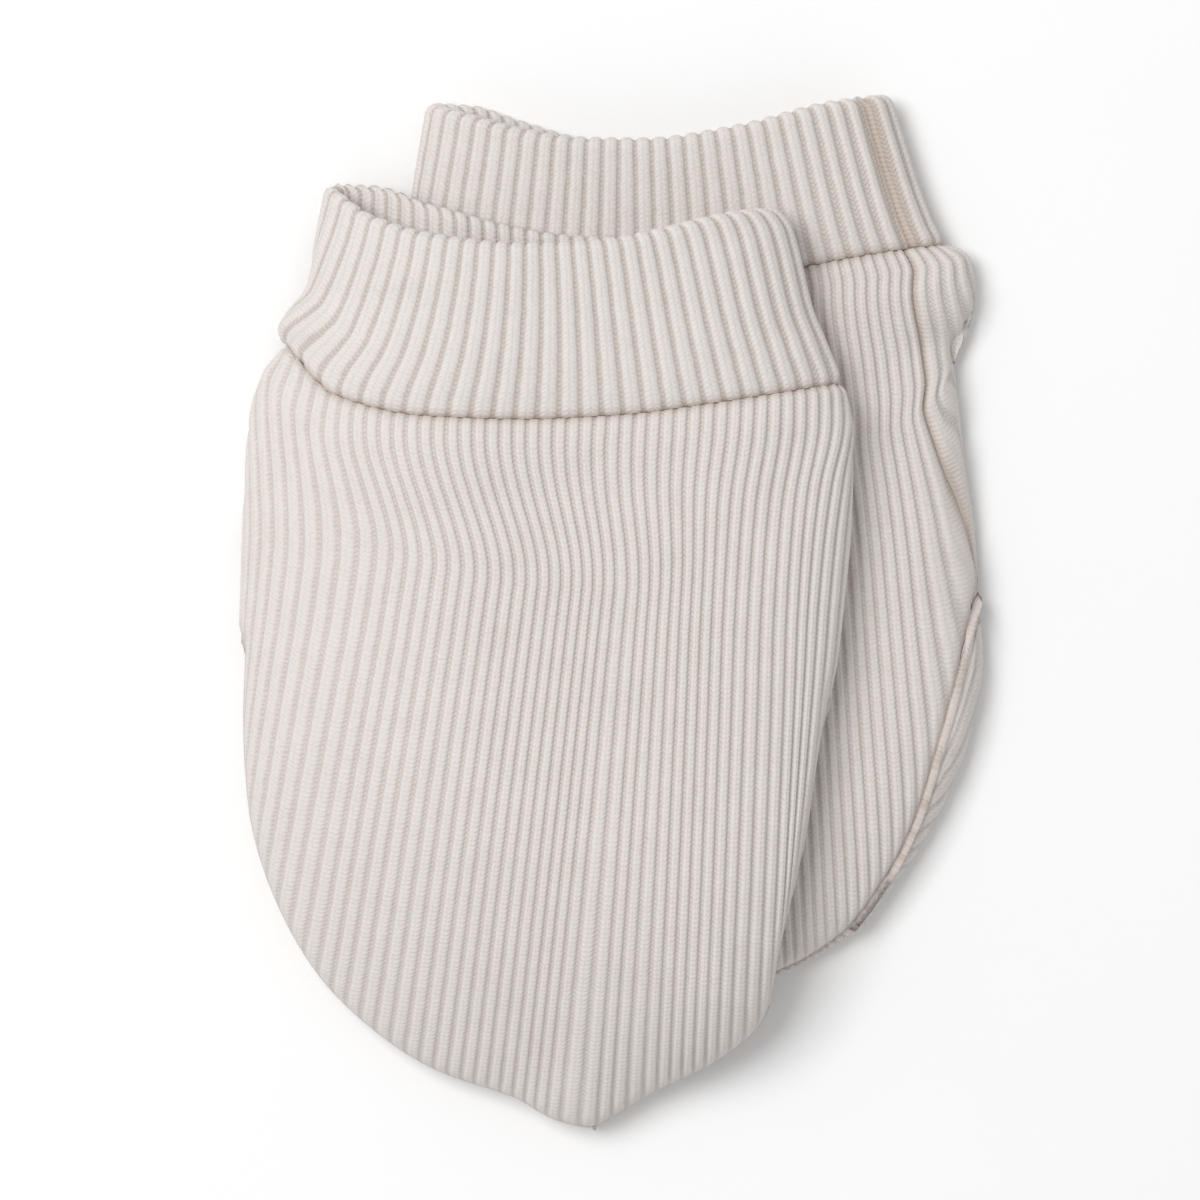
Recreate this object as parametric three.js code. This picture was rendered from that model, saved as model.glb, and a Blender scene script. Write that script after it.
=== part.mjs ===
import * as THREE from 'three';

// A pair of newborn baby mittens in fine rib knit, laid flat: the upper mitten lies across the
// lower one and its free side and tip come down to the surface. Each mitten is a ribbed cuff
// folded double, a top panel and an under panel, with its hollow and its mouth open.
// Millimetres, +Z up, +Y towards the cuffs. The origin is the bottom centre of the pair.

// Cloth, in millimetres
const PANEL_WALL = 1.3;
const CUFF_WALL = 2.0;
const SEAM_GAP = 0.3;
const CUFF_SEAM_GAP = 0.6;
const SIDE_SEAM_GAP = 0.6;
const RIB_RAISE = 0.36;

// Ribs flatten out towards the surface that the cloth lies on, and at each wall's ends
const TOP_RELIEF = { from: 0.3, full: 2 };
const UNDER_RELIEF = { from: 0.4, full: 1.6 };
const END_RELIEF = 0.3;

// Ribs: across one panel, and all round one cuff
const PANEL_RIBS = 50;
const CUFF_RIBS = 62;

// Lying mitten: thickness over all, height of its outermost edge, and how far in its rounding runs
const LOWER_THICKNESS = 9.4;
const UPPER_THICKNESS = 9.8;
const EDGE_HEIGHT = 2.8;
const EDGE_GAP = 0.6;
const UNDER_EDGE_HEIGHT = EDGE_HEIGHT - EDGE_GAP;
const UNDER_EDGE_TUCK = 0.45;
const TOP_ROUNDING = 24;
const UNDER_ROUNDING = 5;
const TOP_ARC_LOSS = 2.5;
const UNDER_ARC_LOSS = 1.8;
const ROW_ARC_LOSS = 2.2;

// The upper mitten's underside: height over the lower one, and where it comes down beside it
const LIFT = LOWER_THICKNESS + RIB_RAISE + SEAM_GAP;
const LIFT_OUTSIDE = 13;
const LIFT_INSIDE = 6;
const CROWN_LIFT_OUTSIDE = 22;
const CROWN_LIFT_INSIDE = 14;

// Ditch along the seam between cuff and body
const DITCH_DEPTH = 0.55;
const DITCH_REACH = 2.2;

const CLOTH_COLOR = 0xd3cac4;
const CUFF_COLOR = 0xcdc1b9;
const ROUGHNESS = 0.95;

const UPPER = {
  name: 'upper_mitten',
  thickness: UPPER_THICKNESS,
  lifted: true,
  // Outline from the cuff's rim to the corner where the tip edge begins
  left: [
    { y: 49.9, x: -32.9 }, { y: 43.3, x: -34.1 }, { y: 38.1, x: -35.0 }, { y: 33.2, x: -38.4 },
    { y: 31.3, x: -37.9 }, { y: 27.7, x: -40.4 }, { y: 22.4, x: -41.8 }, { y: 15.5, x: -42.3 },
    { y: 6.2, x: -42.7 }, { y: -3.1, x: -43.0 },
  ],
  right: [
    { y: 47.0, x: 18.8 }, { y: 44.7, x: 20.7 }, { y: 42.2, x: 21.5 }, { y: 35.2, x: 23.2 },
    { y: 31.1, x: 24.9 }, { y: 26.6, x: 26.6 }, { y: 21.3, x: 27.8 }, { y: 10.8, x: 27.6 },
    { y: 1.6, x: 26.9 }, { y: -10.0, x: 25.5 },
  ],
  // Outline round the tip, by the share of the panel's width
  tip: [
    { across: 0, x: -43.0, y: -3.1 }, { across: 0.02, x: -43.3, y: -12.4 },
    { across: 0.06, x: -42.8, y: -21.6 }, { across: 0.112, x: -40.6, y: -30.9 },
    { across: 0.217, x: -33.1, y: -44.1 }, { across: 0.369, x: -20.9, y: -53.5 },
    { across: 0.5, x: -11.4, y: -56.9 }, { across: 0.58, x: -6.3, y: -59.6 },
    { across: 0.62, x: -2.3, y: -60.4 }, { across: 0.66, x: 0.9, y: -58.9 },
    { across: 0.7, x: 4.4, y: -56.8 }, { across: 0.829, x: 13.0, y: -52.3 },
    { across: 0.908, x: 18.6, y: -46.6 }, { across: 0.953, x: 20.3, y: -37.9 },
    { across: 0.988, x: 23.0, y: -26.3 }, { across: 1, x: 25.5, y: -10.0 },
  ],
  rim: [
    { across: 0, top: 49.9, under: 49.9 }, { across: 0.1, top: 46.1, under: 49.7 },
    { across: 0.235, top: 43.7, under: 47.3 }, { across: 0.435, top: 42.4, under: 44.4 },
    { across: 0.575, top: 42.6, under: 43.4 }, { across: 0.72, top: 43.8, under: 43.4 },
    { across: 0.9, top: 46.2, under: 45.4 }, { across: 1, top: 47.0, under: 47.0 },
  ],
  seam: [
    { across: 0, top: 31.3, under: 31.3 }, { across: 0.093, top: 25.3, under: 28.6 },
    { across: 0.25, top: 22.8, under: 26.2 }, { across: 0.43, top: 22.3, under: 25.5 },
    { across: 0.606, top: 22.8, under: 25.6 }, { across: 0.753, top: 24.0, under: 26.0 },
    { across: 0.9, top: 25.5, under: 26.4 }, { across: 1, top: 26.6, under: 26.6 },
  ],
  // How far the side seams are rolled under the left and the right edge, by the place along the
  // mitten. A seam that lies on the top side has a negative roll.
  roll: [
    { y: 31, left: 6, right: 4 }, { y: 21, left: 4.6, right: 3.2 }, { y: 13, left: 2, right: 1.2 },
    { y: 5, left: 0.3, right: 0.3 }, { y: -2, left: 0, right: 0 },
  ],
  // How far the under panel comes up over the tip edge
  lip: [{ across: 0, high: 0 }, { across: 1, high: 0 }],
  // Whether the roll is read at each rib's own place, or at the place of the side seam
  rollFollows: true,
  // How far the ribs of the top panel lean to the right below the cuff
  drift: [
    { across: 0, shift: 0 }, { across: 0.08, shift: 0.8 }, { across: 0.2, shift: 3.0 },
    { across: 0.37, shift: 3.4 }, { across: 0.6, shift: 2.0 }, { across: 0.82, shift: 0 },
    { across: 1, shift: 0 },
  ],
  cuffDrift: 0.085,
  closingSeam: 1.03,
  closingDepth: 0.5,
  folds: [
    { x: -5, y: 14, wide: 13, long: 5, turn: 0, deep: 0.9 },
    { x: -35, y: 22, wide: 2.5, long: 9, turn: -0.5, deep: 0.6 },
    { x: 21, y: 16, wide: 3, long: 8, turn: -0.45, deep: 0.7 },
    { x: -28, y: -6, wide: 5, long: 20, turn: 0.12, deep: 0.5 },
  ],
};

const LOWER = {
  name: 'lower_mitten',
  thickness: LOWER_THICKNESS,
  lifted: false,
  left: [
    { y: 59.6, x: -21.1 }, { y: 50.3, x: -22.6 }, { y: 44.5, x: -23.4 }, { y: 38.2, x: -25.8 },
    { y: 36.6, x: -25.3 }, { y: 33.5, x: -26.7 }, { y: 27.1, x: -27.6 }, { y: 17.8, x: -28.1 },
    { y: 1.6, x: -27.8 },
  ],
  right: [
    { y: 60.3, x: 32.5 }, { y: 54.9, x: 34.2 }, { y: 48.0, x: 36.5 }, { y: 43.1, x: 39.0 },
    { y: 41.5, x: 41.6 }, { y: 37.5, x: 42.3 }, { y: 34.4, x: 41.6 }, { y: 31.1, x: 39.7 },
    { y: 27.1, x: 40.0 }, { y: 16.1, x: 41.3 }, { y: 9.7, x: 42.3 }, { y: 2.7, x: 42.9 },
  ],
  tip: [
    { across: 0, x: -27.8, y: 1.6 }, { across: 0.02, x: -27.4, y: -7.7 },
    { across: 0.06, x: -25.8, y: -17.0 }, { across: 0.12, x: -21.5, y: -26.3 },
    { across: 0.22, x: -12.8, y: -35.0 }, { across: 0.36, x: -1.2, y: -40.8 },
    { across: 0.5, x: 8.1, y: -43.3 }, { across: 0.55, x: 12.2, y: -44.4 },
    { across: 0.6, x: 15.3, y: -43.5 }, { across: 0.7, x: 20.9, y: -41.7 },
    { across: 0.82, x: 28.1, y: -37.5 }, { across: 0.9, x: 33.2, y: -31.2 },
    { across: 0.955, x: 37.4, y: -24.4 }, { across: 0.985, x: 41.2, y: -15.8 },
    { across: 0.996, x: 43.2, y: -5.0 }, { across: 1, x: 42.9, y: 2.7 },
  ],
  rim: [
    { across: 0, top: 59.6, under: 59.6 }, { across: 0.09, top: 58.0, under: 59.3 },
    { across: 0.2, top: 56.3, under: 57.4 }, { across: 0.33, top: 55.1, under: 55.3 },
    { across: 0.47, top: 54.9, under: 54.4 }, { across: 0.67, top: 56.4, under: 55.6 },
    { across: 0.86, top: 59.1, under: 58.4 }, { across: 1, top: 60.3, under: 60.3 },
  ],
  seam: [
    { across: 0, top: 36.6, under: 36.6 }, { across: 0.12, top: 35.2, under: 36.4 },
    { across: 0.3, top: 34.9, under: 37.0 }, { across: 0.5, top: 36.6, under: 38.6 },
    { across: 0.735, top: 40.1, under: 41.0 }, { across: 0.88, top: 41.9, under: 42.0 },
    { across: 1, top: 43.1, under: 43.1 },
  ],
  roll: [
    { y: 43, left: 5, right: -6.4 }, { y: 37, left: 4.5, right: -7.7 }, { y: 31, left: 3.5, right: -6.6 },
    { y: 25.5, left: 2.5, right: -4.9 }, { y: 21, left: 2, right: -3.4 }, { y: 15, left: 1, right: -1.7 },
    { y: 8, left: 0.3, right: -0.3 }, { y: 3, left: 0, right: 0 },
  ],
  lip: [
    { across: 0, high: 0 }, { across: 0.6, high: 0 }, { across: 0.75, high: 1.0 },
    { across: 0.82, high: 1.5 }, { across: 0.9, high: 2.0 }, { across: 0.955, high: 3.0 },
    { across: 0.97, high: 3.8 }, { across: 0.985, high: 4.3 }, { across: 0.996, high: 3.8 },
    { across: 1, high: 0 },
  ],
  rollFollows: false,
  drift: [{ across: 0, shift: 0 }, { across: 1, shift: 0 }],
  cuffDrift: 0.02,
  closingSeam: 0.92,
  closingDepth: 0.9,
  folds: [
    { x: 38.5, y: 31.5, wide: 5, long: 2.2, turn: 0.35, deep: 1.3 },
    { x: 33, y: 22, wide: 2.5, long: 12, turn: 0.15, deep: 0.7 },
    { x: 30, y: -8, wide: 3, long: 14, turn: -0.1, deep: 0.6 },
  ],
};

// Where along a top panel its ribs' lean begins, and where it is greatest
const DRIFT_FROM = 0.03;
const DRIFT_FULL = 0.24;

// How soon an edge's own bends fade out of the cloth beside it
const EDGE_FADE = 7;
const CUFF_DRIFT_RISE = 1.5;
const CUFF_DRIFT_FADE = 4;
const ROLL_FADE = 5;

// Steps that settle a side seam's roll, and the share of the rest taken at each
const ROLL_STEPS = 24;
const ROLL_STEP_SHARE = 0.4;

// How soon the lip fades back from the tip edge, and the share of its room that the lip fills
const LIP_FADE = 8;
const LIP_FILL = 0.8;

// Share of the body below the cuff where the walls' thickness runs along the cuff's seam
const NEAR_SEAM = 0.3;

// Mesh steps
const PANEL_ROWS = [0, 0.05, 0.12, 0.21, 0.31, 0.42, 0.53, 0.64, 0.75, 0.85, 0.93, 0.97, 1];
const CUFF_ROWS = [0, 0.06, 0.3, 0.55, 0.8, 0.94, 1];
const UNDER_EDGE_RIBS = 9;
const UNDER_MIDDLE_STEP = 2;
const OUTLINE_STEPS = 220;
const TANGENT_STEP = 0.02;
const TIP_STEP = 0.002;

const { lerp, clamp, smoothstep } = THREE.MathUtils;

// Smooth monotone curve through the rows of a table
function track(table, key, value) {
  const rows = [...table].sort((a, b) => a[key] - b[key]);
  const steps = rows.slice(1).map((row, i) => row[key] - rows[i][key]);
  const slopes = steps.map((step, i) => (rows[i + 1][value] - rows[i][value]) / step);
  const tangents = rows.map((row, i) => {
    if (i === 0) return slopes[0];
    if (i === rows.length - 1) return slopes[i - 1];
    const [before, after] = [slopes[i - 1], slopes[i]];
    return before * after <= 0 ? 0 : (2 * before * after) / (before + after);
  });
  return (at) => {
    const t = clamp(at, rows[0][key], rows[rows.length - 1][key]);
    let i = 0;
    while (i < steps.length - 1 && t > rows[i + 1][key]) i += 1;
    const s = (t - rows[i][key]) / steps[i];
    const rise = rows[i + 1][value] - rows[i][value];
    const bend = (1 - s) * tangents[i] * steps[i] - s * tangents[i + 1] * steps[i];
    return rows[i][value] + s * rise + s * (1 - s) * (bend - (1 - 2 * s) * rise);
  };
}

// Plan distance in from the edge for an arc measured over the rounded edge
const fromEdge = (arc, loss) => Math.sqrt(arc * arc + loss * loss) - loss;

// Curves and the edge distance of one mitten
function mitten(spec) {
  const left = track(spec.left, 'y', 'x');
  const right = track(spec.right, 'y', 'x');
  const tipX = track(spec.tip, 'across', 'x');
  const tipY = track(spec.tip, 'across', 'y');
  const rim = { top: track(spec.rim, 'across', 'top'), under: track(spec.rim, 'across', 'under') };
  const seam = { top: track(spec.seam, 'across', 'top'), under: track(spec.seam, 'across', 'under') };
  const point = (x, y) => new THREE.Vector2(x, y);
  const ends = {
    left: { rim: rim.top(0), seam: seam.top(0), corner: spec.tip[0].y },
    right: { rim: rim.top(1), seam: seam.top(1), corner: spec.tip[spec.tip.length - 1].y },
  };
  const outline = [];
  for (let i = 0; i <= OUTLINE_STEPS; i += 1) {
    const y = lerp(ends.left.rim, ends.left.corner, i / OUTLINE_STEPS);
    outline.push(point(left(y), y));
  }
  for (let i = 1; i < OUTLINE_STEPS; i += 1) {
    const across = (1 - Math.cos((Math.PI * i) / OUTLINE_STEPS)) / 2;
    outline.push(point(tipX(across), tipY(across)));
  }
  for (let i = 0; i <= OUTLINE_STEPS; i += 1) {
    const y = lerp(ends.right.corner, ends.right.rim, i / OUTLINE_STEPS);
    outline.push(point(right(y), y));
  }
  return {
    ...spec,
    outline,
    roll: { left: track(spec.roll, 'y', 'left'), right: track(spec.roll, 'y', 'right') },
    lip: track(spec.lip, 'across', 'high'),
    drift: track(spec.drift, 'across', 'shift'),
    seamLine: (x, side) => {
      const width = right(ends.right.seam) - left(ends.left.seam);
      return seam[side](clamp((x - left(ends.left.seam)) / width, 0, 1));
    },
    // Four-sided patches: the cuff from rim to seam, and the body from seam to tip edge
    cuff: {
      left: (v) => point(
        left(lerp(ends.left.rim, ends.left.seam, v)),
        lerp(ends.left.rim, ends.left.seam, v),
      ),
      right: (v) => point(
        right(lerp(ends.right.rim, ends.right.seam, v)),
        lerp(ends.right.rim, ends.right.seam, v),
      ),
      start: (u, side) => point(lerp(left(ends.left.rim), right(ends.right.rim), u), rim[side](u)),
      end: (u, side) => point(lerp(left(ends.left.seam), right(ends.right.seam), u), seam[side](u)),
    },
    body: {
      left: (v) => point(
        left(lerp(ends.left.seam, ends.left.corner, v)),
        lerp(ends.left.seam, ends.left.corner, v),
      ),
      right: (v) => point(
        right(lerp(ends.right.seam, ends.right.corner, v)),
        lerp(ends.right.seam, ends.right.corner, v),
      ),
      start: (u, side) => point(lerp(left(ends.left.seam), right(ends.right.seam), u), seam[side](u)),
      end: (u) => point(tipX(u), tipY(u)),
    },
  };
}

// Point of a four-sided patch at share u across and v along
function patchPoint(patch, u, v, side) {
  const along = patch.start(u, side).lerp(patch.end(u, side), v);
  const leftShift = patch.left(v).sub(patch.start(0, side).lerp(patch.end(0, side), v));
  const rightShift = patch.right(v).sub(patch.start(1, side).lerp(patch.end(1, side), v));
  along.addScaledVector(leftShift, (1 - u) ** EDGE_FADE);
  return along.addScaledVector(rightShift, u ** EDGE_FADE);
}

// Depth of a plan point inside an outline, and the direction in from its nearest edge
function edgeDepth(outline, p) {
  let best = Infinity;
  let inward = null;
  let inside = false;
  for (let i = 0; i < outline.length - 1; i += 1) {
    const a = outline[i];
    const b = outline[i + 1];
    const [dx, dy] = [b.x - a.x, b.y - a.y];
    const length2 = dx * dx + dy * dy;
    if (length2 === 0) continue;
    const t = clamp(((p.x - a.x) * dx + (p.y - a.y) * dy) / length2, 0, 1);
    const distance2 = (p.x - a.x - t * dx) ** 2 + (p.y - a.y - t * dy) ** 2;
    if (distance2 < best) {
      best = distance2;
      const length = Math.sqrt(length2);
      inward = new THREE.Vector2(-dy / length, dx / length);
      inside = (p.x - a.x) * inward.x + (p.y - a.y) * inward.y >= 0;
    }
  }
  return { depth: (inside ? 1 : -1) * Math.sqrt(best), inward };
}

const upper = mitten(UPPER);
const lower = mitten(LOWER);

// Height that the lower mitten gives to the upper one's underside and crown
function liftAt(p) {
  const { depth } = edgeDepth(lower.outline, p);
  return {
    under: LIFT * smoothstep(depth, -LIFT_OUTSIDE, LIFT_INSIDE),
    crown: LIFT * smoothstep(depth, -CROWN_LIFT_OUTSIDE, CROWN_LIFT_INSIDE),
  };
}

function foldDepth(piece, p) {
  return piece.folds.reduce((sum, fold) => {
    const [dx, dy] = [p.x - fold.x, p.y - fold.y];
    const [c, s] = [Math.cos(fold.turn), Math.sin(fold.turn)];
    const across = (dx * c + dy * s) / fold.wide;
    const along = (dy * c - dx * s) / fold.long;
    return sum + fold.deep * Math.exp(-across * across - along * along);
  }, 0);
}

// Outer and inner point of the lying cloth over one plan point. The tuck lowers an under panel's
// inner edge, which keeps it clear of the top panel's.
function clothPoint(piece, p, side, wall, direction, tuck = 0) {
  const { depth } = edgeDepth(piece.outline, p);
  const inset = clamp(depth, 0, TOP_ROUNDING) / TOP_ROUNDING;
  const lift = piece.lifted ? liftAt(p) : { under: 0, crown: 0 };
  const inner = p.clone().addScaledVector(direction, wall * (1 - inset));
  if (side === 'under') {
    const curl = 1 - Math.sqrt(1 - (1 - clamp(depth / UNDER_ROUNDING, 0, 1)) ** 2);
    const innerHeight = lift.under + wall + (UNDER_EDGE_HEIGHT - wall - tuck) * curl;
    return {
      outer: new THREE.Vector3(p.x, p.y, lift.under + UNDER_EDGE_HEIGHT * curl),
      inner: new THREE.Vector3(inner.x, inner.y, innerHeight),
    };
  }
  const rise = Math.sqrt(1 - (1 - inset) ** 3);
  const base = lerp(lift.under, lift.crown, rise) + EDGE_HEIGHT;
  const ditch = DITCH_DEPTH * Math.exp(-(((p.y - piece.seamLine(p.x, side)) / DITCH_REACH) ** 2));
  const sunk = rise * (foldDepth(piece, p) + ditch);
  const crown = piece.thickness - EDGE_HEIGHT;
  return {
    outer: new THREE.Vector3(p.x, p.y, base + crown * rise - sunk),
    inner: new THREE.Vector3(inner.x, inner.y, base + (crown - wall) * rise - sunk),
  };
}

// Closed wall between an outer grid and an inner grid with half its columns
function clothShell({ outer, inner, closed }) {
  const positions = [];
  const index = [];
  const number = (grid) => grid.map((row) => row.map((p) => positions.push(p.x, p.y, p.z) / 3 - 1));
  const out = number(outer);
  const inn = number(inner);
  const face = (...corners) => {
    for (let i = 1; i < corners.length - 1; i += 1) index.push(corners[0], corners[i], corners[i + 1]);
  };
  const next = (row, i) => row[(i + 1) % row.length];
  const spans = (row) => (closed ? row.length : row.length - 1);
  for (let j = 0; j < out.length - 1; j += 1) {
    for (let i = 0; i < spans(out[0]); i += 1) {
      face(out[j][i], out[j + 1][i], next(out[j + 1], i), next(out[j], i));
    }
    for (let i = 0; i < spans(inn[0]); i += 1) {
      face(inn[j][i], next(inn[j], i), next(inn[j + 1], i), inn[j + 1][i]);
    }
  }
  const rimStrip = (outRow, inRow, flipped) => {
    for (let i = 0; i < spans(inRow); i += 1) {
      const [a, b, c] = [outRow[2 * i], outRow[2 * i + 1], outRow[(2 * i + 2) % outRow.length]];
      const [d, e] = [inRow[i], next(inRow, i)];
      const faces = [[a, b, d], [b, e, d], [b, c, e]];
      faces.forEach((corners) => face(...(flipped ? corners.reverse() : corners)));
    }
  };
  rimStrip(out[0], inn[0], false);
  rimStrip(out[out.length - 1], inn[inn.length - 1], true);
  if (!closed) {
    for (let j = 0; j < out.length - 1; j += 1) {
      face(out[j][0], inn[j][0], inn[j + 1][0], out[j + 1][0]);
      face(out[j].at(-1), out[j + 1].at(-1), inn[j + 1].at(-1), inn[j].at(-1));
    }
  }
  const geometry = new THREE.BufferGeometry();
  geometry.setAttribute('position', new THREE.Float32BufferAttribute(positions, 3));
  geometry.setIndex(index);
  geometry.computeVertexNormals();
  return geometry;
}

// Raises the crest columns of a grid along its surface normals
function raiseRibs(grid, closed, crests, amount) {
  const at = (j, i) => {
    const row = grid[clamp(j, 0, grid.length - 1)];
    return row[closed ? (i + row.length) % row.length : clamp(i, 0, row.length - 1)];
  };
  return grid.map((row, j) => row.map((p, i) => {
    if (!crests[i]) return p;
    const across = at(j, i + 1).clone().sub(at(j, i - 1));
    const along = at(j + 1, i).clone().sub(at(j - 1, i));
    const normal = along.cross(across).normalize();
    return p.clone().addScaledVector(normal, amount(p, j, i));
  }));
}

const material = (color) => new THREE.MeshStandardMaterial({ color, roughness: ROUGHNESS, metalness: 0 });

function named(name, geometry, color) {
  const mesh = new THREE.Mesh(geometry, material(color));
  mesh.name = name;
  return mesh;
}

// Share across the row, and side, for a signed arc in from the left edge (positive on the top)
function acrossRow(arc, width, side) {
  const half = width / 2;
  const loss = side === 'top' ? TOP_ARC_LOSS : UNDER_ARC_LOSS;
  const full = width + 2 * loss;
  const nearRight = arc > full / 2;
  const near = nearRight ? full - arc : arc;
  const scale = half / fromEdge(full / 2, loss);
  const inset = (fromEdge(near, loss) * scale) / width;
  return nearRight ? 1 - inset : inset;
}

// Width of a body's row at share v
function rowWidth(piece, v, side) {
  return patchPoint(piece.body, 1, v, side).x - patchPoint(piece.body, 0, v, side).x;
}

// Roll of a side seam on the row at share v, found at the place where the seam itself lies
function seamRoll(piece, edge, v, home) {
  const width = rowWidth(piece, v, home);
  let roll = 0;
  for (let step = 0; step < ROLL_STEPS; step += 1) {
    const [side, loss] = roll < 0 ? ['top', TOP_ARC_LOSS] : ['under', UNDER_ARC_LOSS];
    const inset = fromEdge(roll, loss) / width;
    const place = patchPoint(piece.body, edge === 'left' ? inset : 1 - inset, v, side);
    roll = lerp(roll, piece.roll[edge](place.y), ROLL_STEP_SHARE);
  }
  return roll;
}

// Rolls of both side seams on the row at share v, and what they would be on straight seams
function rowRolls(piece, v, home) {
  return ['left', 'right'].map((edge) => ({
    roll: seamRoll(piece, edge, v, home),
    plain: lerp(seamRoll(piece, edge, 0, home), seamRoll(piece, edge, 1, home), v),
  }));
}

// Direction in from the tip edge at share u across
function tipInward(piece, u) {
  const step = piece.body.end(Math.min(1, u + TIP_STEP)).sub(piece.body.end(Math.max(0, u - TIP_STEP)));
  step.normalize();
  return new THREE.Vector2(-step.y, step.x);
}

// Plan point and side of a panel's cloth at share f across and v along. The seams' rolls are the
// row's, or read at each rib's own place.
function panelPlan(piece, panel, f, v, rolls) {
  const onTop = panel === 'top';
  const home = onTop ? 'top' : 'under';
  const away = onTop ? 'under' : 'top';
  const sign = onTop ? 1 : -1;
  const loss = onTop ? TOP_ARC_LOSS : UNDER_ARC_LOSS;
  const awayLoss = onTop ? UNDER_ARC_LOSS : TOP_ARC_LOSS;
  const rough = patchPoint(piece.body, f, v, home);
  const width = rowWidth(piece, v, home);
  const full = width + 2 * loss;
  const gap = onTop ? 0 : SIDE_SEAM_GAP;
  const [leftRoll, rightRoll] = rolls ?? ['left', 'right'].map((edge) => {
    const roll = piece.roll[edge](rough.y);
    return { roll, plain: roll };
  });
  // A seam's own bends fade out across the panel, so that the ribs between run straight
  const bend = (edge) => sign * (edge.roll - edge.plain) - gap;
  const straight = lerp(-sign * leftRoll.plain, full + sign * rightRoll.plain, f);
  const arc = straight - bend(leftRoll) * (1 - f) ** ROLL_FADE + bend(rightRoll) * f ** ROLL_FADE;
  const wrapped = arc < 0 || arc > full;
  const beyond = arc < 0 ? -arc : arc - full;
  const inset = fromEdge(beyond, awayLoss) / width;
  const share = arc < 0 ? inset : 1 - inset;
  const u = wrapped ? share : acrossRow(arc, width, home);
  // Along the column, arcs are measured back from the tip edge
  const start = patchPoint(piece.body, u, 0, home);
  const length = start.distanceTo(patchPoint(piece.body, u, 1, home));
  const lip = (piece.lip(u) * (onTop ? 1 : LIP_FILL) - gap) * v ** LIP_FADE;
  const first = CUFF_SEAM_GAP / length;
  const whole = length + ROW_ARC_LOSS;
  const back = whole * (1 - v) - (onTop ? 0 : lip);
  const along = 1 - fromEdge(Math.max(back, 0), ROW_ARC_LOSS) / fromEdge(whole, ROW_ARC_LOSS);
  const side = wrapped || back < 0 ? away : home;
  const p = patchPoint(piece.body, u, Math.max(first, along), side);
  // What goes on over the tip edge lies square to it
  const over = onTop ? lip : Math.max(-back, 0);
  p.addScaledVector(tipInward(piece, u), fromEdge(over, ROW_ARC_LOSS));
  if (onTop) {
    const lean = smoothstep(v, DRIFT_FROM, DRIFT_FULL) * Math.min(1, (1 - v) / (1 - DRIFT_FULL));
    p.x += piece.drift(u) * lean;
  }
  return { p, side, u };
}

// Direction in from the side edges, used where a wall meets the cuff seam
function seamDirection(patch, u, v, side) {
  const tangent = patchPoint(patch, Math.min(1, u + TANGENT_STEP), v, side)
    .sub(patchPoint(patch, Math.max(0, u - TANGENT_STEP), v, side)).normalize();
  return u < 0.5 ? tangent : tangent.negate();
}

// Columns of a panel: a valley and a crest for each rib, and a plain middle underneath
function panelColumns(onTop) {
  const step = 1 / PANEL_RIBS;
  const ribbed = (i) => ({ f: (i * step) / 2, crest: i % 2 === 1 });
  if (onTop) return Array.from({ length: 2 * PANEL_RIBS + 1 }, (unused, i) => ribbed(i));
  const edge = Array.from({ length: 2 * UNDER_EDGE_RIBS + 1 }, (unused, i) => ribbed(i));
  const spans = (PANEL_RIBS - 2 * UNDER_EDGE_RIBS) / UNDER_MIDDLE_STEP;
  const middle = Array.from({ length: spans - 1 }, (unused, i) => (
    { f: (UNDER_EDGE_RIBS + (i + 1) * UNDER_MIDDLE_STEP) * step, crest: false }
  ));
  const far = [...edge].reverse().map(({ f, crest }) => ({ f: 1 - f, crest }));
  return [...edge, ...middle, ...far];
}

// One panel of a mitten: the top or the under wall of its body
function panel(piece, which) {
  const onTop = which === 'top';
  const columns = panelColumns(onTop);
  const rollsAt = (v) => (piece.rollFollows ? null : rowRolls(piece, v, onTop ? 'top' : 'under'));
  const rows = PANEL_ROWS.map((v) => ({ v, rolls: rollsAt(v) }));
  const raw = rows.map(({ v, rolls }) => columns.map(({ f }) => {
    const place = panelPlan(piece, which, f, v, rolls);
    const nearSeam = 1 - smoothstep(v, 0, NEAR_SEAM);
    const direct = edgeDepth(piece.outline, place.p).inward;
    const across = seamDirection(piece.body, place.u, v, place.side);
    const shift = direct.lerp(across, nearSeam).normalize();
    return clothPoint(piece, place.p, place.side, PANEL_WALL, shift, onTop ? 0 : UNDER_EDGE_TUCK);
  }));
  const crests = columns.map(({ crest }) => crest);
  const smooth = raw.map((row) => row.map((cell) => cell.outer));
  const raised = raiseRibs(smooth, false, crests, (p, j) => {
    const raise = RIB_RAISE * (j === 0 ? END_RELIEF : 1);
    if (onTop) return raise * smoothstep(p.z, TOP_RELIEF.from, TOP_RELIEF.full);
    return piece.lifted ? 0 : -raise * smoothstep(p.z, UNDER_RELIEF.from, UNDER_RELIEF.full);
  });
  const inner = raw.map((row) => row.filter((cell, i) => i % 2 === 0).map((cell) => cell.inner));
  const mirrored = (grid) => grid.map((row) => [...row].reverse());
  const shell = onTop
    ? clothShell({ outer: raised, inner, closed: false })
    : clothShell({ outer: mirrored(raised), inner: mirrored(inner), closed: false });
  return named(`${piece.name}_${which}_panel`, shell, CLOTH_COLOR);
}

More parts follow.
